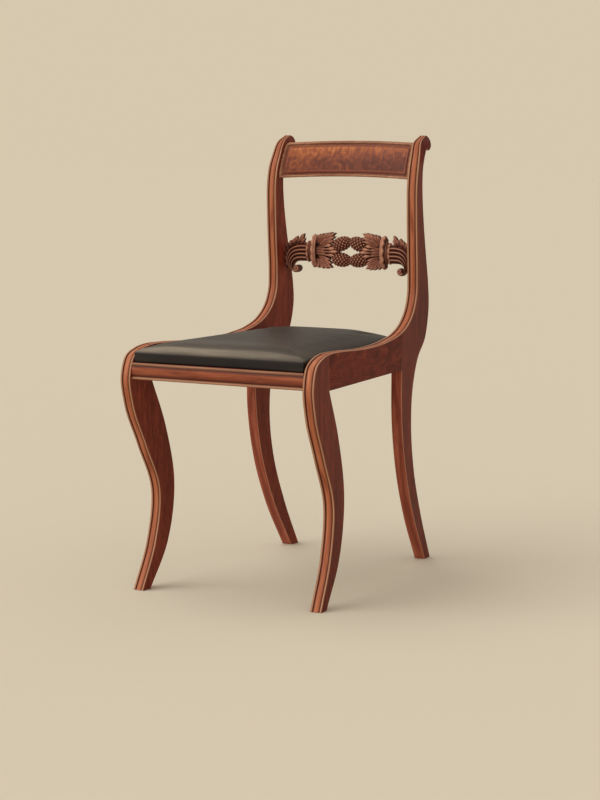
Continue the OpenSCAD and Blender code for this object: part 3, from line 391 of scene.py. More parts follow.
# Grain of the pieces that run along each axis
ALONG_Z, ALONG_Y, ALONG_X = (55, 55, 5), (55, 5, 55), (5, 55, 55)
MATERIALS = {
    "crosswise": wood("mahogany_crosswise", ALONG_X, SIDE, 0.45, 0.6),
    "narrow": narrow_wood(),
    "band": band_wood("mahogany_band"),
    # The front rail's band: the reed painted darker, with painted shade towards its lower edge
    "rail_band": band_wood("mahogany_rail_band", REED_SHADED, 0.7, 0.8),
    "crest": wood("mahogany_crest", ALONG_X, CREST, 0.45, 0.6),
    "bead": wood("mahogany_bead", ALONG_X, BEADING, 0.4, 0.4),
    "carved": wood("mahogany_carved", (30, 60, 60), CARVED, 0.4, 0.5, 0.48, relief=True),
    "veneer": veneer(),
    "beech_x": wood("beech_crosswise", ALONG_X, BEECH, 0.4, 0.3, 0.6),
    "beech_y": wood("beech_lengthwise", ALONG_Y, BEECH, 0.4, 0.3, 0.6),
    "webbing": woven("jute_webbing", srgb(112, 88, 54), srgb(178, 150, 104), 0.0022),
    "hessian": woven("jute_hessian", srgb(120, 98, 62), srgb(190, 164, 116), 0.0016),
    "haircloth": haircloth(),
    "iron": iron(),
}
# The boards of the left side show their inner faces, which are painted a little lighter, as painted light
for tail, colours in (("", SIDE), ("_left", SIDE_LIT)):
    MATERIALS["upright" + tail] = wood("mahogany_upright" + tail, ALONG_Z, colours, 0.45, 0.6, lines=0.6,
                                       shine=0.09)
    MATERIALS["lengthwise" + tail] = wood("mahogany_lengthwise" + tail, (30, 12, 30), colours, 0.3, 1.8,
                                          lines=0.4, shine=0.05)


# Meshes
def mesh_object(name, verts, faces, materials, slots=None, uvs=None, relief=None, body="chair_frame"):
    """An object of one mesh, its vertices in millimetres. slots gives each face's material, uvs the UVs of
    its corners, and relief each vertex's height in its carving, 0 to 1."""
    mesh = bpy.data.meshes.new(name)
    mesh.from_pydata([tuple(float(c) * MM for c in v) for v in verts], [], faces)
    for m in materials:
        mesh.materials.append(m)
    if slots is not None:
        mesh.polygons.foreach_set("material_index", slots)
    if uvs is not None:
        layer = mesh.uv_layers.new(name="UVMap")
        layer.data.foreach_set("uv", [c for face in uvs for uv in face for c in uv])
    if relief is not None:
        mesh.attributes.new("relief", "FLOAT", "POINT").data.foreach_set("value", [float(r) for r in relief])
    mesh.validate()
    mesh.update()
    o = bpy.data.objects.new(name, mesh)
    bpy.context.scene.collection.objects.link(o)
    mesh.shade_smooth()
    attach(o, body)
    return o


def face_outwards(o):
    bm = bmesh.new()
    bm.from_mesh(o.data)
    bmesh.ops.recalc_face_normals(bm, faces=bm.faces)
    bm.to_mesh(o.data)
    bm.free()


def sharpen(o, degrees):
    o.data.set_sharp_from_angle(angle=math.radians(degrees))


# Place of a side frame's point in the chair
CANT = math.atan(TAPER_W / 2 / (STILE_SEAM - KNEE))
SIN, COS, TAN = math.sin(CANT), math.cos(CANT), math.tan(CANT)
BASE_Y = CAD_BOX[0][1] / MM + MEMBER_T * SIN


def inner_x(y):
    """Half the width between the side frames at y."""
    return FRONT_W / 2 - TAN * (y - BASE_Y) - MEMBER_T / COS


def inner_y(v):
    """The y of the side frames' inner faces at v along them."""
    return BASE_Y + COS * (v - FIRST_V) - MEMBER_T * SIN


# The moulding of bead, quirk, reed, quirk and bead: their widths, and their depths below the outline
BEAD, QUIRK = 3.8, 1.5
BEAD_D, QUIRK_D, REED_D, REED_TOP, ROUNDING = 0.9, 2.2, 1.9, 0.1, 2.4


def both_halves(half):
    """Places across a moulding from those of its first half."""
    return half + [2 * half[-1] - u for u in half[-2::-1]]


US = both_halves([0, 0.3, 0.8, 1.6, 2.6, 3.4, 3.8, 4.05, 4.4, 4.9, 5.3, 5.7, 6.2, 6.9, 7.8, 8.8, 10.0,
                  MEMBER_T / 2])


def moulding(u, half):
    """Depth at u from the edge of a moulding whose half width is half."""
    if u <= BEAD:
        return BEAD_D * abs((u - BEAD / 2) / (BEAD / 2)) ** ROUNDING
    if u < BEAD + QUIRK:
        t = (u - BEAD) / QUIRK
        return BEAD_D + (QUIRK_D - BEAD_D) * math.sin(math.pi * min(t * 1.15, 1)) ** 0.6 + 0.8 * t * t
    return REED_TOP + REED_D * (1 - (u - BEAD - QUIRK) / (half - BEAD - QUIRK)) ** ROUNDING


# Depths below a board's outline, at u from its nearer face
def band_depth(u):
    return moulding(u, MEMBER_T / 2)


def plain_depth(u):
    return 0.55 * max(1 - u / 0.8, 0) ** 2


def seam_depth(u):
    return 0.3 * max(1 - u / 0.3, 0)


def path_normals(path):
    """Directions into the wood, which lies on a path's right, at each of its points."""
    out = []
    for i in range(len(path)):
        d = path[min(i + 1, len(path) - 1)] - path[max(i - 1, 0)]
        d = d / np.linalg.norm(d)
        out.append(np.array([d[1], -d[0]]))
    return out


def level(normal):
    """A path's end direction made level, so that the end lies flat on the floor or along a seam."""
    return np.array([1 / normal[0] if abs(normal[0]) > 0.3 else math.copysign(1, normal[0]), 0.0])


def upright(normal):
    return np.array([0.0, math.copysign(1, normal[1])])


# Outlines, sampled closely, and the scroll's arc in degrees from its top round to its underside
BAND = curve(LEG_WAY + RAIL_WAY + STILE_WAY)
LEG_END = (len(LEG_WAY) - 1) * STEPS
RAIL_END = LEG_END + len(RAIL_WAY) * STEPS
FIRST_V = min(p[0] for p in BAND)
SCROLL_ANGLES = range(84, -142, -6)
# How far the band draws in at the scroll from its outer and its inner face, and over how many degrees it ends
NARROW_OUT, NARROW_IN, NARROW_ARC = 6.5, 4.0, 110


def narrowing(q, angle):
    """How far the band draws in from its outer and inner faces over a scroll's top."""
    on = 1 - min(max((SCROLL_ANGLES[0] - angle) / NARROW_ARC, 0), 1)
    ease = [min(max((q[1] - z) / (HEIGHT - 1 - z), 0), 1) for z in (CREST_BOTTOM + 20, CREST_TOP + 2)]
    return NARROW_OUT * on * ease[0] ** 1.5, NARROW_IN * on * ease[1]


def board(node, stretches, side, side_material, insets=()):
    """A board of a side frame from its outline's stretches of points, directions inwards and depth function.
    insets gives the first points' narrowing from the outer and the inner face."""
    points, is_band, lengths, run = [], [], [], 0.0
    for path, inwards, depth in stretches:
        for i, (p, inward) in enumerate(zip(path, inwards)):
            if i:
                run += float(np.linalg.norm(p - path[i - 1]))
            points.append((p, inward, depth))
            is_band.append(depth is band_depth and i < len(path) - 1)
            lengths.append(run)
    n, k = len(points), len(US)
    verts, flat = [], []
    for i, (p, inward, depth) in enumerate(points):
        a, b = insets[i] if i < len(insets) else (0, 0)
        for u in US:
            q = p + inward * depth(min(u, MEMBER_T - u))
            flat.append(q)
            along = q[0] - FIRST_V
            u = a + u * (MEMBER_T - a - b) / MEMBER_T
            verts.append((side * (FRONT_W / 2 - SIN * along - u * COS), BASE_Y + COS * along - u * SIN, q[1]))
    faces, slots, uvs = [], [], []
    for i in range(n):
        j = (i + 1) % n
        a, b = lengths[i] * MM, lengths[j if j else i] * MM
        for c in range(k - 1):
            faces.append((i * k + c, j * k + c, j * k + c + 1, i * k + c + 1))
            slots.append(0 if is_band[i] else 2)
            u0, u1 = US[c] / MEMBER_T, US[c + 1] / MEMBER_T
            uvs.append([(a, u0), (b, u0), (b, u1), (a, u1)])
    for c in (0, k - 1):
        ring = [Vector((flat[i * k + c][0], flat[i * k + c][1], 0)) for i in range(n)]
        for tri in tessellate_polygon([ring]):
            faces.append(tuple(i * k + c for i in tri))
            slots.append(1)
            uvs.append([(ring[i].x * MM, ring[i].y * MM) for i in tri])
    materials = [MATERIALS["band"], side_material, MATERIALS["narrow"]]
    o = mesh_object(node + "_wood", verts, faces, materials, slots, uvs)
    face_outwards(o)
    sharpen(o, 40)
    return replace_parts(o, node)


def stretch(path, depth, first=None, last=None, inwards=None):
    """A stretch of a board's outline, its end directions turned by the functions first and last."""
    inwards = list(inwards or path_normals(path))
    if first:
        inwards[0] = first(inwards[0])
    if last:
        inwards[-1] = last(inwards[-1])
    return path, inwards, depth


def straight(a, b, inward, depth=seam_depth):
    return [np.array(a, float), np.array(b, float)], [np.array(inward, float)] * 2, depth


def side_frames():
    inwards = path_normals(BAND)
    arc = [np.array([SCROLL + SCROLL_R * math.cos(a), SCROLL_Z + SCROLL_R * math.sin(a)])
           for a in map(math.radians, SCROLL_ANGLES)]
    top, rear_front = BAND[RAIL_END:] + arc, curve(REAR_FRONT_WAY)
    angles = [SCROLL_ANGLES[0]] * (len(top) - len(arc)) + list(SCROLL_ANGLES)
    insets = [narrowing(q, angle) for q, angle in zip(top, angles)]
    leg_low, stile_low = (LEG_SEAM, Z), (STILE_SEAM, Z)
    leg = [stretch(BAND[:LEG_END + 1], band_depth, level, upright, inwards[:LEG_END + 1]),
           straight(BAND[LEG_END], leg_low, (-1, 0)),
           stretch(curve(LEG_BACK_WAY)[::-1], plain_depth, upright, level)]
    rail = [stretch(BAND[LEG_END:RAIL_END + 1], band_depth, upright, upright, inwards[LEG_END:RAIL_END + 1]),
            straight(BAND[RAIL_END], stile_low, (-1, 0)), straight(stile_low, leg_low, (0, 1), plain_depth),
            straight(leg_low, BAND[LEG_END], (1, 0))]
    stile = [stretch(top, band_depth, upright), stretch(curve(REAR_BACK_WAY)[::-1], plain_depth, None, level),
             stretch(rear_front, plain_depth, level, upright), straight(rear_front[-1], top[0], (1, 0))]
    for side, word, tail in ((-1, "_left", "_left"), (1, "_right", "")):
        board("front_leg" + word, leg, side, MATERIALS["upright" + tail])
        board("side_rail" + word, rail, side, MATERIALS["lengthwise" + tail])
        board("rear_stile" + word, stile, side, MATERIALS["upright" + tail], insets)


side_frames()


def lofted(name, rings, uvs, material, caps=True):
    """A mesh through closed rings of as many points each, with the UVs of their points."""
    m, n = len(rings), len(rings[0])
    faces = [(i * n + j, i * n + (j + 1) % n, (i + 1) * n + (j + 1) % n, (i + 1) * n + j)
             for i in range(m - 1) for j in range(n)]
    if caps:
        faces += [tuple(range(n)), tuple(range((m - 1) * n, m * n))]
    flat = [uv for ring in uvs for uv in ring]
    o = mesh_object(name, [p for ring in rings for p in ring], faces, [material],
                    uvs=[[flat[i] for i in face] for face in faces])
    face_outwards(o)
    return o


def front_rail():
    """The reeded front rail between the legs, its other faces plain."""
    (_, y0, z0), (x1, y1, z1) = in_mm(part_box("front_rail"))
    h, arris = z1 - z0, 0.5
    us = both_halves([0, 0.3, 0.9, 1.6, 2.6, 3.4, 3.8, 4.05, 4.4, 4.9, 5.3, 5.8, 6.6, 7.8, 9.6, 12, h / 2])
    profile = [(y0 + moulding(min(u, h - u), h / 2), z0 + u) for u in us]
    profile += [(y1 - arris, z1), (y1, z1 - arris), (y1, z0 + arris), (y1 - arris, z0)]
    shares = [u / h for u in us] + [1, 1, 0, 0]
    rings, uvs = [], []
    for i in range(-16, 17):
        rings.append([(i / 16 * inner_x(y), y, z) for y, z in profile])
        uvs.append([(i / 16 * x1 * MM, share) for share in shares])
    o = lofted("front_rail_reeded", rings, uvs, MATERIALS["rail_band"])
    o.data.materials.append(MATERIALS["crosswise"])
    behind_moulding = (y0 + 3) * MM
    for p in o.data.polygons:
        if max(o.data.vertices[v].co.y for v in p.vertices) > behind_moulding:
            p.material_index = 1
    sharpen(o, 40)
    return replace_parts(o, "front_rail")


front_rail()


# Crest rail: s from -1 to 1 along it, z up its face, d in front of the face, all in millimetres
CREST_END_Y = inner_y(STILE) + CREST_SETBACK


def crest_place(s, z, d):
    lift = 1 - s * s
    y = CREST_END_Y + CREST_BOW * lift + CREST_LEAN * max(z / CREST_H, 0) ** 1.6 - d
    return (s * inner_x(y), y, CREST_BOTTOM + z + CREST_RISE * lift)


def rounded_loop(e, corner):
    """Points (s, z) of the crest's outline drawn in by e, as many for every e. corner is the radius of the
    lower and of the upper corners."""
    across, up = 72, 18
    half = inner_x(CREST_END_Y)
    w, z0, z1 = half - e, e, CREST_H - e
    if z1 - z0 < 1:
        z0 = z1 = CREST_H / 2
    low, high = [max(min(c - e * 0.6, (z1 - z0) / 2), 0.01) for c in corner]
    points = []
    for cx, cz, turn, r, steps, end in ((w - low, z0 + low, -90, low, up, (w, z1 - high)),
                                        (w - high, z1 - high, 0, high, across, (-w + high, z1)),
                                        (-w + high, z1 - high, 90, high, up, (-w, z0 + low)),
                                        (-w + low, z0 + low, 180, low, across, (w - low, z0))):
        for i in range(7):
            a = math.radians(turn + 15 * i)
            points.append((cx + r * math.cos(a), cz + r * math.sin(a)))
        x, z = points[-1]
        points += [(blend(x, end[0], i / steps), blend(z, end[1], i / steps)) for i in range(1, steps)]
    return [(x / half, z) for x, z in points]


def crest_loops(name, profile, material, nodes, corner=(1, 7), angle=40):
    """A piece of the crest from loops drawn in by e and standing d in front of its face."""
    loops = [(rounded_loop(e, corner), d) for e, d in profile]
    rings = [[crest_place(s, z, d) for s, z in loop] for loop, d in loops]
    uvs = [[((s + 1) / 2, z / CREST_H) for s, z in loop] for loop, _ in loops]
    o = lofted(name, rings, uvs, material, caps=False)
    sharpen(o, angle)
    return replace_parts(o, *nodes)


def crest():
    """The crest rail with its bead border and its veneered panel."""
    inmost = CREST_H / 2 - 0.2
    inwards = [14, 18, 22, 26, 30, inmost]
    face, panel = -0.2, 1.4
    board_profile = [(e, face) for e in [inmost] + inwards[::-1] + [8.6, 5.4]]
    board_profile += [(4.6, 0.1), (0.8, 0.1), (0.25, -0.15), (0, -0.7), (0, -4), (0, -9), (0, 0.8 - CREST_T),
                      (0.3, 0.25 - CREST_T)] + [(e, -CREST_T) for e in [0.9, 6] + inwards]
    crest_loops("crest_board", board_profile, MATERIALS["crest"], ["crest_rail"])
    arc = [math.pi * i / 12 for i in range(13)]
    bead_profile = [(CREST_BEAD / 2 + 2.3 * math.cos(a), 0.2 + 2.0 * math.sin(a)) for a in arc]
    crest_loops("crest_bead", [(CREST_BEAD - 0.25, face)] + bead_profile + [(0.15, face)], MATERIALS["bead"],
                ["crest_bead_top", "crest_bead_bottom", "crest_bead_left", "crest_bead_right"], angle=60)
    panel_profile = [(8.3, face), (8.3, 0.7), (8.45, 1.1), (8.8, 1.32), (9.4, panel), (10.2, panel)]
    crest_loops("crest_veneer", panel_profile + [(e, panel) for e in inwards], MATERIALS["veneer"],
                ["crest_panel"], corner=(7, 11))


crest()


# Carved stay rail. Shells are drawn in the carving's own plane for its left half: x and z from the rail's
# middle, d in front of its middle plane, and the relief, which is the height within the carving, 0 to 1.
STAY_END_Y = inner_y(STILE) + STAY_SETBACK
STAY_HALF = inner_x(STAY_END_Y)
RIM_X = RIM_IN - STAY_HALF
HORN_X = RIM_X - 38
HORN_T, HORN_RIBS = 22.0, 5
# The corner leaf's lobes, and how deep the middle of a finger is
LOBES, VEIN_D = 8.5, 0.9
CONE_L, CONE_R, CONE_ROWS, CONE_TURNS = 21.5, 14.2, 5, 9


def stay_place(x, z, d):
    lift = 1 - (x / STAY_HALF) ** 2
    return (x, STAY_END_Y + STAY_BOW * lift - d, STAY_Z + STAY_RISE * lift + z)


class Carving:
    """Shells gathered into one mesh, each with its mirror image."""

    def __init__(self):
        self.verts, self.faces, self.relief = [], [], []

    def shell(self, rings, caps=True):
        """A shell through closed rings of points (x, z, d, relief)."""
        m, n = len(rings), len(rings[0])
        for mirror in (1, -1):
            start = len(self.verts)
            self.verts += [stay_place(mirror * x, z, d) for ring in rings for x, z, d, _ in ring]
            self.relief += [value for ring in rings for *_, value in ring]
            for i in range(m - 1):
                for j in range(n):
                    a, b = start + i * n + j, start + i * n + (j + 1) % n
                    self.faces.append((a, b, b + n, a + n) if mirror == 1 else (a, a + n, b + n, b))
            if caps:
                first, last = range(start, start + n), range(start + (m - 1) * n, start + m * n)
                self.faces += [tuple(first[::-mirror]), tuple(last[::mirror])]


def circle(n):
    """n angles all round."""
    return [2 * math.pi * j / n for j in range(n)]


def slanted(x, z, a):
    """A function that places points of a piece drawn along its axis, which leaves x, z at the angle a."""
    return lambda along, up, d: (x + along * math.cos(a) - up * math.sin(a),
                                 z + along * math.sin(a) + up * math.cos(a), d)


def finger(carving, x, z, tip_x, tip_z, width, d0, rise, tip, bend=0.0, back=-6.0, spoon=False):
    """A leaf's finger from its root at x, z to its tip, hollowed along its middle and curling forwards."""
    length = math.hypot(tip_x - x, tip_z - z)
    place = slanted(x, z, math.atan2(tip_z - z, tip_x - x))
    across = [i / 8 for i in range(-8, 9)]
    tip_relief = 0.35 if spoon else 0.15
    rings = []
    for i in range(23):
        t = i / 22
        t1 = min(t, 0.995)
        if spoon:
            shape = 0.42 + 0.58 * math.exp(-((t1 - 0.84) / 0.15) ** 2)
        else:
            shape = 0.30 + 0.70 * math.sin(math.pi * min(t1 / 1.30, 1) ** 0.72)
        half = width * shape * min(1, (1 - t1) * (7 if spoon else 5)) ** 0.5
        slope = math.atan2(2 * bend * t, length)
        half_x, half_z = math.sin(slope) * half, math.cos(slope) * half
        crown = rise * math.sin(math.pi * (0.12 + 0.76 * t)) + tip * t**3

        def at(w, d):
            return place(length * t - half_x * w, bend * t * t + half_z * w, d)

        ring = []
        for w in across:
            edge = 1 - w * w
            dip = VEIN_D * math.exp(-(w / 0.16) ** 2) * math.sin(math.pi * min(t + 0.1, 1))
            flute = 0.5 * math.cos(4 * math.pi * w) * math.sin(math.pi * t)
            value = 0.02 + 0.8 * edge**0.8 - 0.55 * dip / VEIN_D + 0.5 * flute + tip_relief * t * t
            ring.append(at(w, d0 + crown * (0.25 + 0.75 * edge**0.75) - dip + flute * edge)
                        + (max(0.0, min(1.0, value)),))
        for w in across[::-1]:
            full = (1 - w * w) ** 0.4
            d = back * (1 - 0.5 * t) * full + (d0 + crown * 0.25 - 1.0) * (1 - full)
            ring.append(at(w * 0.92, d) + (0.3,))
        rings.append(ring)
    carving.shell(rings)


def leaf(carving, x, fingers, **how):
    """A leaf whose fingers are given by root, tip, half width and rise, their places from x."""
    for root_x, root_z, tip_x, tip_z, width, rise in fingers:
        finger(carving, x + root_x, root_z, x + tip_x, tip_z, width, rise=rise, **how)


def pine_cone(carving, x, z, turn):
    """A cone covered with pointed scales that wind round it both ways."""
    place = slanted(x, z, math.radians(turn))
    rings = []
    for i in range(97):
        t = -1 + i / 48
        radius = CONE_R * math.sqrt(max(1 - abs(t) ** 2.15, 0.0004)) * (1 - 0.06 * t)
        wind = CONE_ROWS * math.pi * t / 2 * 1.15
        ring = []
        for phi in circle(144):
            turned_by = CONE_TURNS * phi / 2
            scale = abs(math.sin(turned_by + wind) * math.sin(turned_by - wind)) ** 0.7
            r = radius + 2.6 * (scale - 0.65) * min(1, radius / (0.35 * CONE_R))
            ring.append(place(CONE_L * t, r * math.cos(phi), r * math.sin(phi)) + (0.1 + 0.9 * scale**1.4,))
        rings.append(ring)
    carving.shell(rings)


def ring_tube(carving, x, half_h, half_d, r, squash, waves=0, wave_h=0.0):
    """A moulding round the horn, in a plane across the rail, that sways by wave_h along it."""
    rings = []
    for i in range(121):
        phi = 2 * math.pi * i / 120
        sway = math.sin(waves * phi)
        ring = []
        for psi in circle(20):
            out = r * math.cos(psi) - r
            ring.append((x + r * squash * math.sin(psi) + wave_h * sway, (half_h + out) * math.cos(phi),
                         (half_d + out) * math.sin(phi), 0.48 + 0.5 * math.cos(psi) - 0.12 * sway))
        rings.append(ring)
    carving.shell(rings, caps=False)


def turned(carving, profile, top, bottom, depth, lobes=0, lobe_h=0.0):
    """A flaring piece along the rail. profile gives x, the share of its half heights, top and bottom, and of
    its half depth, and the relief."""
    rings = []
    for x, q, value in profile:
        ring = []
        for phi in circle(144):
            lobe = abs(math.cos(lobes * phi / 2)) ** 0.6 - 0.5 if lobes else 0.0
            h, d = [half * q + lobe_h * lobe for half in (top if math.cos(phi) > 0 else bottom, depth)]
            ring.append((x, h * math.cos(phi), d * math.sin(phi), value + 0.4 * lobe))
        rings.append(ring)
    carving.shell(rings)


def horn(carving):
    """The ribbed horn from its neck to the curl of its tail. Its way holds the places of its two edges."""
    way = curve([(22, -21, 22, 17.5), (10, -20.5, 5, 18), (3, -20.5, -8, 15), (-2, -22, -19, 7),
                 (-6, -24.5, -25, -6), (-8.5, -28, -25, -20), (-9, -32, -19, -32), (-6, -36, -9, -41)], 10)
    rings = []
    for i, (ax, az, bx, bz) in enumerate(way):
        thick = HORN_T / 2 * (1 - 0.12 * i / (len(way) - 1))
        front, back = [], []
        for j in range(61):
            f = j / 60
            edge = abs(2 * f - 1)
            x, z = HORN_X + blend(ax, bx, f), blend(az, bz, f)
            rib, line = [math.cos(2 * math.pi * ribs * f) for ribs in (HORN_RIBS, 3 * HORN_RIBS)]
            # Round over the edges, with a thin second line in each hollow
            round_h = thick * (1 - edge**2.6) ** 0.5
            h = round_h * 0.9 + 1.5 * rib * (1 - edge**6) + 0.35 * line
            front.append((x, z, h, 0.4 + 0.55 * rib + 0.12 * line))
            back.append((x, z, -round_h, 0.4))
        rings.append(front + back[-2:0:-1])
    carving.shell(rings)


def curl(carving):
    """The tail's spiral, from the horn's end round under and into its eye."""
    cx, cz, steps = HORN_X - 1.8, -34.4, 110
    rings = []
    for i in range(steps + 1):
        t = i / steps
        a = math.radians(205 + 640 * t)
        radius, half, depth = blend(9.6, 1.2, t**0.8), blend(4.2, 1.9, t**0.7), blend(9.5, 12.5, t)
        ring = []
        for psi in circle(24):
            r, front = radius + half * (math.cos(psi) - 0.75), math.sin(psi)
            ring.append((cx + r * math.cos(a), cz + r * math.sin(a),
                         depth * math.copysign(abs(front) ** 0.55, front), 0.15 + 0.7 * abs(front) ** 1.5))
        rings.append(ring)
    carving.shell(rings)


def corner_leaf(carving):
    """The leaf that wraps the horn's outer side and fills the corner to the stile."""
    outer = curve([(15, 15), (12, 27), (-2, 26), (-15, 20), (-25, 13), (-30, 0), (-30, -20), (-22, -36)])
    inner = curve([(10, 13), (4, 15), (-6, 13), (-14, 7), (-20, -2), (-21, -14), (-18, -26), (-12, -36)])
    rings = []
    for i, (near, far) in enumerate(zip(inner, outer)):
        q = LOBES * i / (len(outer) - 1) + 0.1
        lobe = abs(math.sin(math.pi * q))
        reach = 0.86 + 0.16 * lobe**0.7
        front, back = [], []
        for j in range(15):
            f = j / 14
            vein = abs(math.sin(math.pi * (q - 0.25 * f)))
            h = 4.2 + 4.0 * math.sin(math.pi * min(f + 0.18, 1)) - 1.1 * (1 - vein) + 1.2 * f * lobe
            x, z = blend(near, far, f * reach)
            front.append((HORN_X + x, z, h, 0.05 + 0.75 * vein**1.5 * (0.5 + 0.5 * f)))
            x, z = blend(near, far, f * reach * 0.97)
            back.append((HORN_X + x, z, -6.0 + 3 * f, 0.3))
        rings.append(front + back[::-1])
    carving.shell(rings)


def carved_stay():
    c = Carving()
    horn(c)
    curl(c)
    corner_leaf(c)
    # Tips that stand off the corner leaf's top
    r = RIM_X
    leaf(c, r, [(-35, 13, -25, 36, 5.2, 3.8), (-38, 12, -32, 29, 3.8, 3.8), (-33, 12, -22.5, 27, 3.6, 3.8),
                (-44, 11, -40, 31, 4.8, 3.8), (-48, 8, -47, 26, 4.2, 3.8), (-52, 4, -55, 22, 4.4, 3.8),
                (-40, 10, -35, 24, 3.6, 3.8)], d0=2.5, tip=2.5, bend=-2, back=-4)
    # Neck with its stops, flare with two fillets, and the mouth's wavy rim
    turned(c, [(r - 17.5, 0.55, 0.2), (r - 16.8, 0.60, 0.3), (r - 15.5, 0.66, 0.75), (r - 13.8, 0.68, 0.8),
               (r - 12.2, 0.65, 0.5), (r - 11.6, 0.60, 0.1)], 30, 33, 17.5, lobes=10, lobe_h=1.2)
    turned(c, [(r - 12.2, 0.60, 0.1), (r - 11.4, 0.66, 0.3), (r - 10.4, 0.69, 0.85), (r - 9.4, 0.69, 0.3),
               (r - 8.8, 0.67, 0.05), (r - 8.0, 0.72, 0.5), (r - 7.0, 0.76, 0.8), (r - 6.0, 0.79, 0.3),
               (r - 5.2, 0.82, 0.05), (r - 3, 0.92, 0.3), (r, 0.9, 0.2), (r + 3, 0.8, 0.05),
               (r + 4, 0.5, 0.0)], 30, 30, 15)
    ring_tube(c, r - 0.9, 34, 17, 4.3, 0.85, waves=12, wave_h=0.7)
    ring_tube(c, r + 3.2, 32.4, 15, 2.2, 0.9)
    # Upper, lower and middle leaves out of the mouth
    mouth = r + 5
    leaf(c, mouth, [(0, 15, 6, 35, 4.4, 4), (3, 15, 13, 36.5, 4.4, 4.5), (6, 16, 23, 38, 4.8, 5),
                    (9, 17, 32, 39.5, 4.8, 5.5), (11, 16, 40, 38.5, 5, 6), (6, 13, 40, 31, 4.8, 6.5),
                    (8, 12, 38, 23, 4.8, 6)], d0=3.5, tip=3.5, bend=-2.5)
    leaf(c, mouth, [(0, -14, 3, -34.5, 4.4, 4), (3, -15, 14, -36.5, 4.6, 4.5), (5, -15, 24, -37, 4.8, 5),
                    (8, -15, 33, -35.5, 5, 5.5), (7, -13, 33, -27, 5, 6), (4, -10, 30, -19, 4.8, 6)],
         d0=3.5, tip=3.5, bend=2)
    for root_z, tip_x, tip_z, width, rise, d0 in ((7, 34, 12, 4.6, 6, 5), (2, 42, 5.5, 4.8, 6.5, 5.5),
                                                  (-2, 48, -1, 5, 6.5, 5), (-6, 40, -9, 4.6, 6, 4.5)):
        leaf(c, mouth, [(0, root_z, tip_x, tip_z, width, rise)], d0=d0, tip=3, spoon=True)
    leaf(c, mouth, [(0, z, length, z * 1.2, 2.4, 4) for z, length in ((4.6, 22), (0, 20), (-4.6, 22))],
         d0=8, tip=0)
    pine_cone(c, -19.0, 14.8, 20)
    pine_cone(c, -19.4, -17.6, -8)
    # A plain heart that the leaves and cones are cut from, seen only between them and from behind
    turned(c, [(r + 1, 0.9, 0.1), (r + 18, 0.92, 0.1), (r + 34, 0.75, 0.1), (r + 46, 0.5, 0.1),
               (r + 54, 0.3, 0.1)], 20, 20, 6.5)
    o = mesh_object("stay_rail_carved", c.verts, c.faces, [MATERIALS["carved"]], relief=c.relief)
    sharpen(o, 75)
    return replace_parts(o, "stay_rail")


carved_stay()


# Loose seat: horsehair cloth pulled over the stuffing and turned under the frame. It starts a little within
# the cover's box, and its dome rises over a roll of its own width at the sides and at the front and back.
PAD_IN, PAD_DOME, PAD_ROLL_X, PAD_ROLL_Y = 0.6, 17.0, 130, 60
PAD_ENDS = [0, 0.5, 1.6, 3.2, 5.3, 8, 11, 14, 17.5, 22]
PAD_PITCH = 6.5


def pad_half_x(y):
    return inner_x(y) - 1.5 / COS - PAD_IN


def spaced(span):
    """Shares of a span, close together at its ends and about one pitch apart between them."""
    inner = span - 2 * PAD_ENDS[-1]
    n = max(int(round(inner / PAD_PITCH)), 2)
    return ([e / span for e in PAD_ENDS[:-1]] + [(PAD_ENDS[-1] + inner * i / n) / span for i in range(n + 1)]
            + [1 - e / span for e in PAD_ENDS[-2::-1]])


def pad_shape():
    """The pad's vertices and faces before it swells: its dome, its sides and the cloth turned under."""
    front, back, bottom = SEAT_LOW[1] + PAD_IN, SEAT_HIGH[1] - PAD_IN, SEAT_LOW[2]
    top, middle = bottom + SEAT_SIDE_H, (front + back) / 2
    us, vs = spaced(2 * pad_half_x(middle)), spaced(SEAT_HIGH[1] - SEAT_LOW[1])
    verts = []
    for v in vs:
        for u in us:
            y = blend(front, back, v)
            half = pad_half_x(y)
            x = half * (2 * u - 1)
            ex, ey = min(u, 1 - u) * 2 * half, min(v, 1 - v) * (back - front)
            # The corners are rounded, and the sides draw in between them, by a millimetre each
            near_x, near_y = max(1 - ex / 20, 0), max(1 - ey / 20, 0)
            corner = near_x**2 * near_y**2
            x -= math.copysign(corner + math.sin(math.pi * v) * near_x, x)
            y -= math.copysign(corner + math.sin(math.pi * u) * near_y, v - 0.5)
            gx, gy = [(1 - (1 - min(e / r, 1)) ** 3) ** 0.65 for e, r in ((ex, PAD_ROLL_X), (ey, PAD_ROLL_Y))]
            verts.append((x, y, top + PAD_DOME * gx * gy))
    m, n = len(us), len(vs)
    faces = [(j * m + i, j * m + i + 1, (j + 1) * m + i + 1, (j + 1) * m + i)
             for j in range(n - 1) for i in range(m - 1)]
    border = (list(range(m)) + [j * m + m - 1 for j in range(1, n)]
              + [(n - 1) * m + i for i in range(m - 2, -1, -1)] + [j * m for j in range(n - 2, 0, -1)])
    rows = [(top - (SEAT_SIDE_H - 3) * k / 5, 1.0) for k in range(1, 6)]
    rows += [(bottom + 1.2, 0.998), (bottom + 0.2, 0.993)]
    rows += [(bottom, share) for share in (0.975, 0.94, 0.90, 0.86, 0.83)]
    above = border
    for z, share in rows:
        ring = range(len(verts), len(verts) + len(border))
        verts += [(verts[b][0] * share, middle + (verts[b][1] - middle) * share, z) for b in border]
        for k in range(len(border)):
            following = (k + 1) % len(border)
            faces.append((above[following], above[k], ring[k], ring[following]))
        above = ring
    return verts, faces


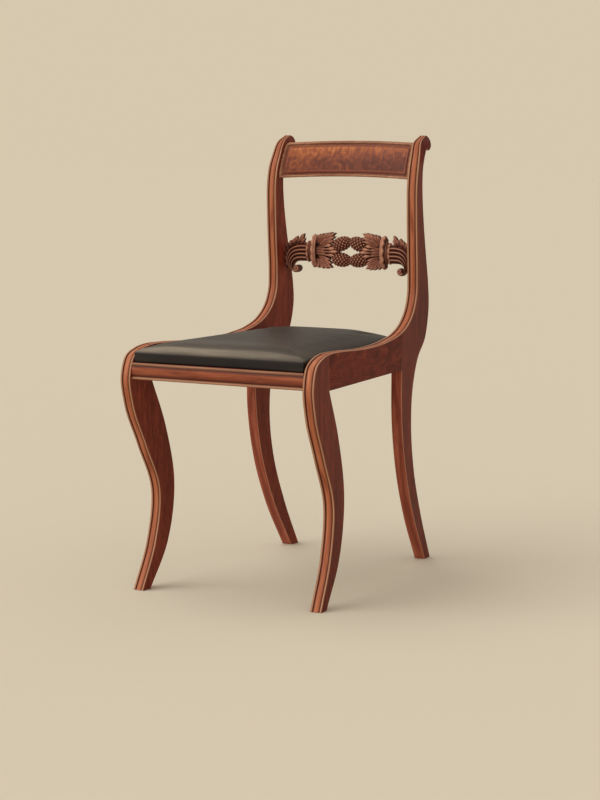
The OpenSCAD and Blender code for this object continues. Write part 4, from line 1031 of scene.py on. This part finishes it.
def swell(o, verts):
    """Swells the pad under the stuffing's pressure, its sides and underside held, by 1.5 mm at most."""
    held = o.vertex_groups.new(name="held")
    held.add([i for i, v in enumerate(verts) if v[2] < SEAT_LOW[2] + 20], 1.0, "REPLACE")
    cloth = o.modifiers.new("pull", "CLOTH")
    set_all(cloth.settings, quality=6, mass=0.35, use_pressure=True, uniform_pressure_force=2.5,
            tension_stiffness=18.0, compression_stiffness=18.0, shear_stiffness=8.0, bending_stiffness=1.5,
            vertex_group_mass="held")
    cloth.settings.effector_weights.gravity = 0.0
    cloth.collision_settings.use_collision = False
    scene = bpy.context.scene
    for f in range(1, 21):
        scene.frame_set(f)
    shaped = o.evaluated_get(bpy.context.evaluated_depsgraph_get())
    after = np.array([v.co[:] for v in shaped.data.vertices])
    o.modifiers.remove(cloth)
    scene.frame_set(1)
    base, cap = np.array(verts) * MM, 1.5 * MM
    move = after - base
    size = np.linalg.norm(move, axis=1)
    placed = base + move * (cap * np.tanh(size / cap) / np.maximum(size, 1e-9))[:, None]
    # The wood round it keeps the pad in
    for p in placed:
        limit = (pad_half_x(p[1] / MM) + PAD_IN + 0.9) * MM
        p[0] = min(max(p[0], -limit), limit)
        p[1] = min(max(p[1], (SEAT_LOW[1] - 1.5) * MM), (SEAT_HIGH[1] + 0.9) * MM)
        p[2] = min(p[2], (SEAT_HIGH[2] + 10) * MM)
    o.data.vertices.foreach_set("co", placed.ravel())
    o.data.update()


def seat_pad():
    verts, faces = pad_shape()
    o = mesh_object("seat_horsehair_pad", verts, faces, [MATERIALS["haircloth"]], body="loose_seat")
    face_outwards(o)
    swell(o, verts)
    set_all(o.modifiers.new("subsurf", "SUBSURF"), levels=1, render_levels=1)
    set_all(o.modifiers.new("solidify", "SOLIDIFY"), thickness=1.1 * MM, offset=-1.0)
    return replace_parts(o, "seat_cover", "seat_stuffing")


seat_pad()


# Finishes of the CAD nodes that stay in sight
FINISH = {
    "crosswise": ("rear_rail",),
    "iron": ("block_screws", "cleat_screws", "web_tacks", "cover_tacks"),
    "hessian": ("base_hessian",),
    "webbing": ("web_strap",),
    "beech_x": ("seat_cleat_back", "seat_frame_front", "seat_frame_back", "corner_block"),
    "beech_y": ("seat_frame_left", "seat_frame_right", "seat_cleat_left", "seat_cleat_right"),
}
for name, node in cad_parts.items():
    key = next((key for key, starts in FINISH.items() if name.startswith(starts)), "upright")
    if not node.material_slots:
        node.data.materials.append(MATERIALS[key])
    for material_slot in node.material_slots:
        material_slot.material = MATERIALS[key]


# Floor, backdrop, light and camera
def floor():
    m = Nodes("pale_floor", Base_Color=srgb(206, 197, 180), Roughness=0.95, Specular_IOR_Level=0.1)
    bpy.ops.mesh.primitive_plane_add(size=60, location=(0, 0, -0.0005))
    plane = bpy.context.object
    plane.name = "floor"
    plane.data.materials.append(m.mat)


def backdrop():
    """The colour of paper behind the chair, and a fill light of its own from all round."""
    world = bpy.data.worlds.new("studio")
    bpy.context.scene.world = world
    world.use_nodes = True
    tree = world.node_tree
    tree.nodes.clear()
    out, mix, fill, paper, path = [tree.nodes.new("ShaderNode" + kind) for kind in
                                   ("OutputWorld", "MixShader", "Background", "Background", "LightPath")]
    for node, colour, strength in ((fill, srgb(236, 228, 214), 0.75), (paper, srgb(214, 200, 174), 1.0)):
        node.inputs["Color"].default_value = colour
        node.inputs["Strength"].default_value = strength
    for source, target in ((path.outputs["Is Camera Ray"], mix.inputs[0]), (fill.outputs[0], mix.inputs[1]),
                           (paper.outputs[0], mix.inputs[2]), (mix.outputs[0], out.inputs["Surface"])):
        tree.links.new(source, target)


def sun(name, towards, strength, angle, colour):
    data = bpy.data.lights.new(name, "SUN")
    set_all(data, energy=strength, angle=math.radians(angle), color=colour)
    o = bpy.data.objects.new(name, data)
    o.rotation_euler = Vector(towards).to_track_quat("-Z", "Y").to_euler()
    bpy.context.scene.collection.objects.link(o)


# The camera, solved from the picture: its place in metres, the direction back from the chair to it, and its
# focal length, which like the picture's height is in the picture's pixels
CAMERA_PLACE = (1.8845, -3.4267, 0.8622)
CAMERA_BACK = (0.47392, -0.87071, 0.13143)
FOCAL, PICTURE_H, SENSOR = 2047.3, 800, 36


def camera():
    data = bpy.data.cameras.new("camera")
    set_all(data, sensor_width=SENSOR, sensor_fit="AUTO", lens=FOCAL / PICTURE_H * SENSOR, clip_end=100)
    o = bpy.data.objects.new("camera", data)
    back = Vector(CAMERA_BACK).normalized()
    right = Vector((0, 0, 1)).cross(back).normalized()
    turn = Matrix((right, back.cross(right), back)).transposed().to_4x4()
    o.matrix_world = Matrix.Translation(Vector(CAMERA_PLACE)) @ turn
    bpy.context.scene.collection.objects.link(o)
    bpy.context.scene.camera = o


floor()
backdrop()
sun("key", (0.62, 0.62, -0.62), 1.5, 60, (1.0, 0.97, 0.92))
sun("front_fill", (-0.35, 0.85, -0.25), 0.5, 60, (1.0, 0.98, 0.95))
sun("top_soft", (0.47, -0.05, -0.88), 0.5, 35, (1.0, 0.98, 0.95))
camera()
bpy.context.scene.view_settings.view_transform = "Standard"
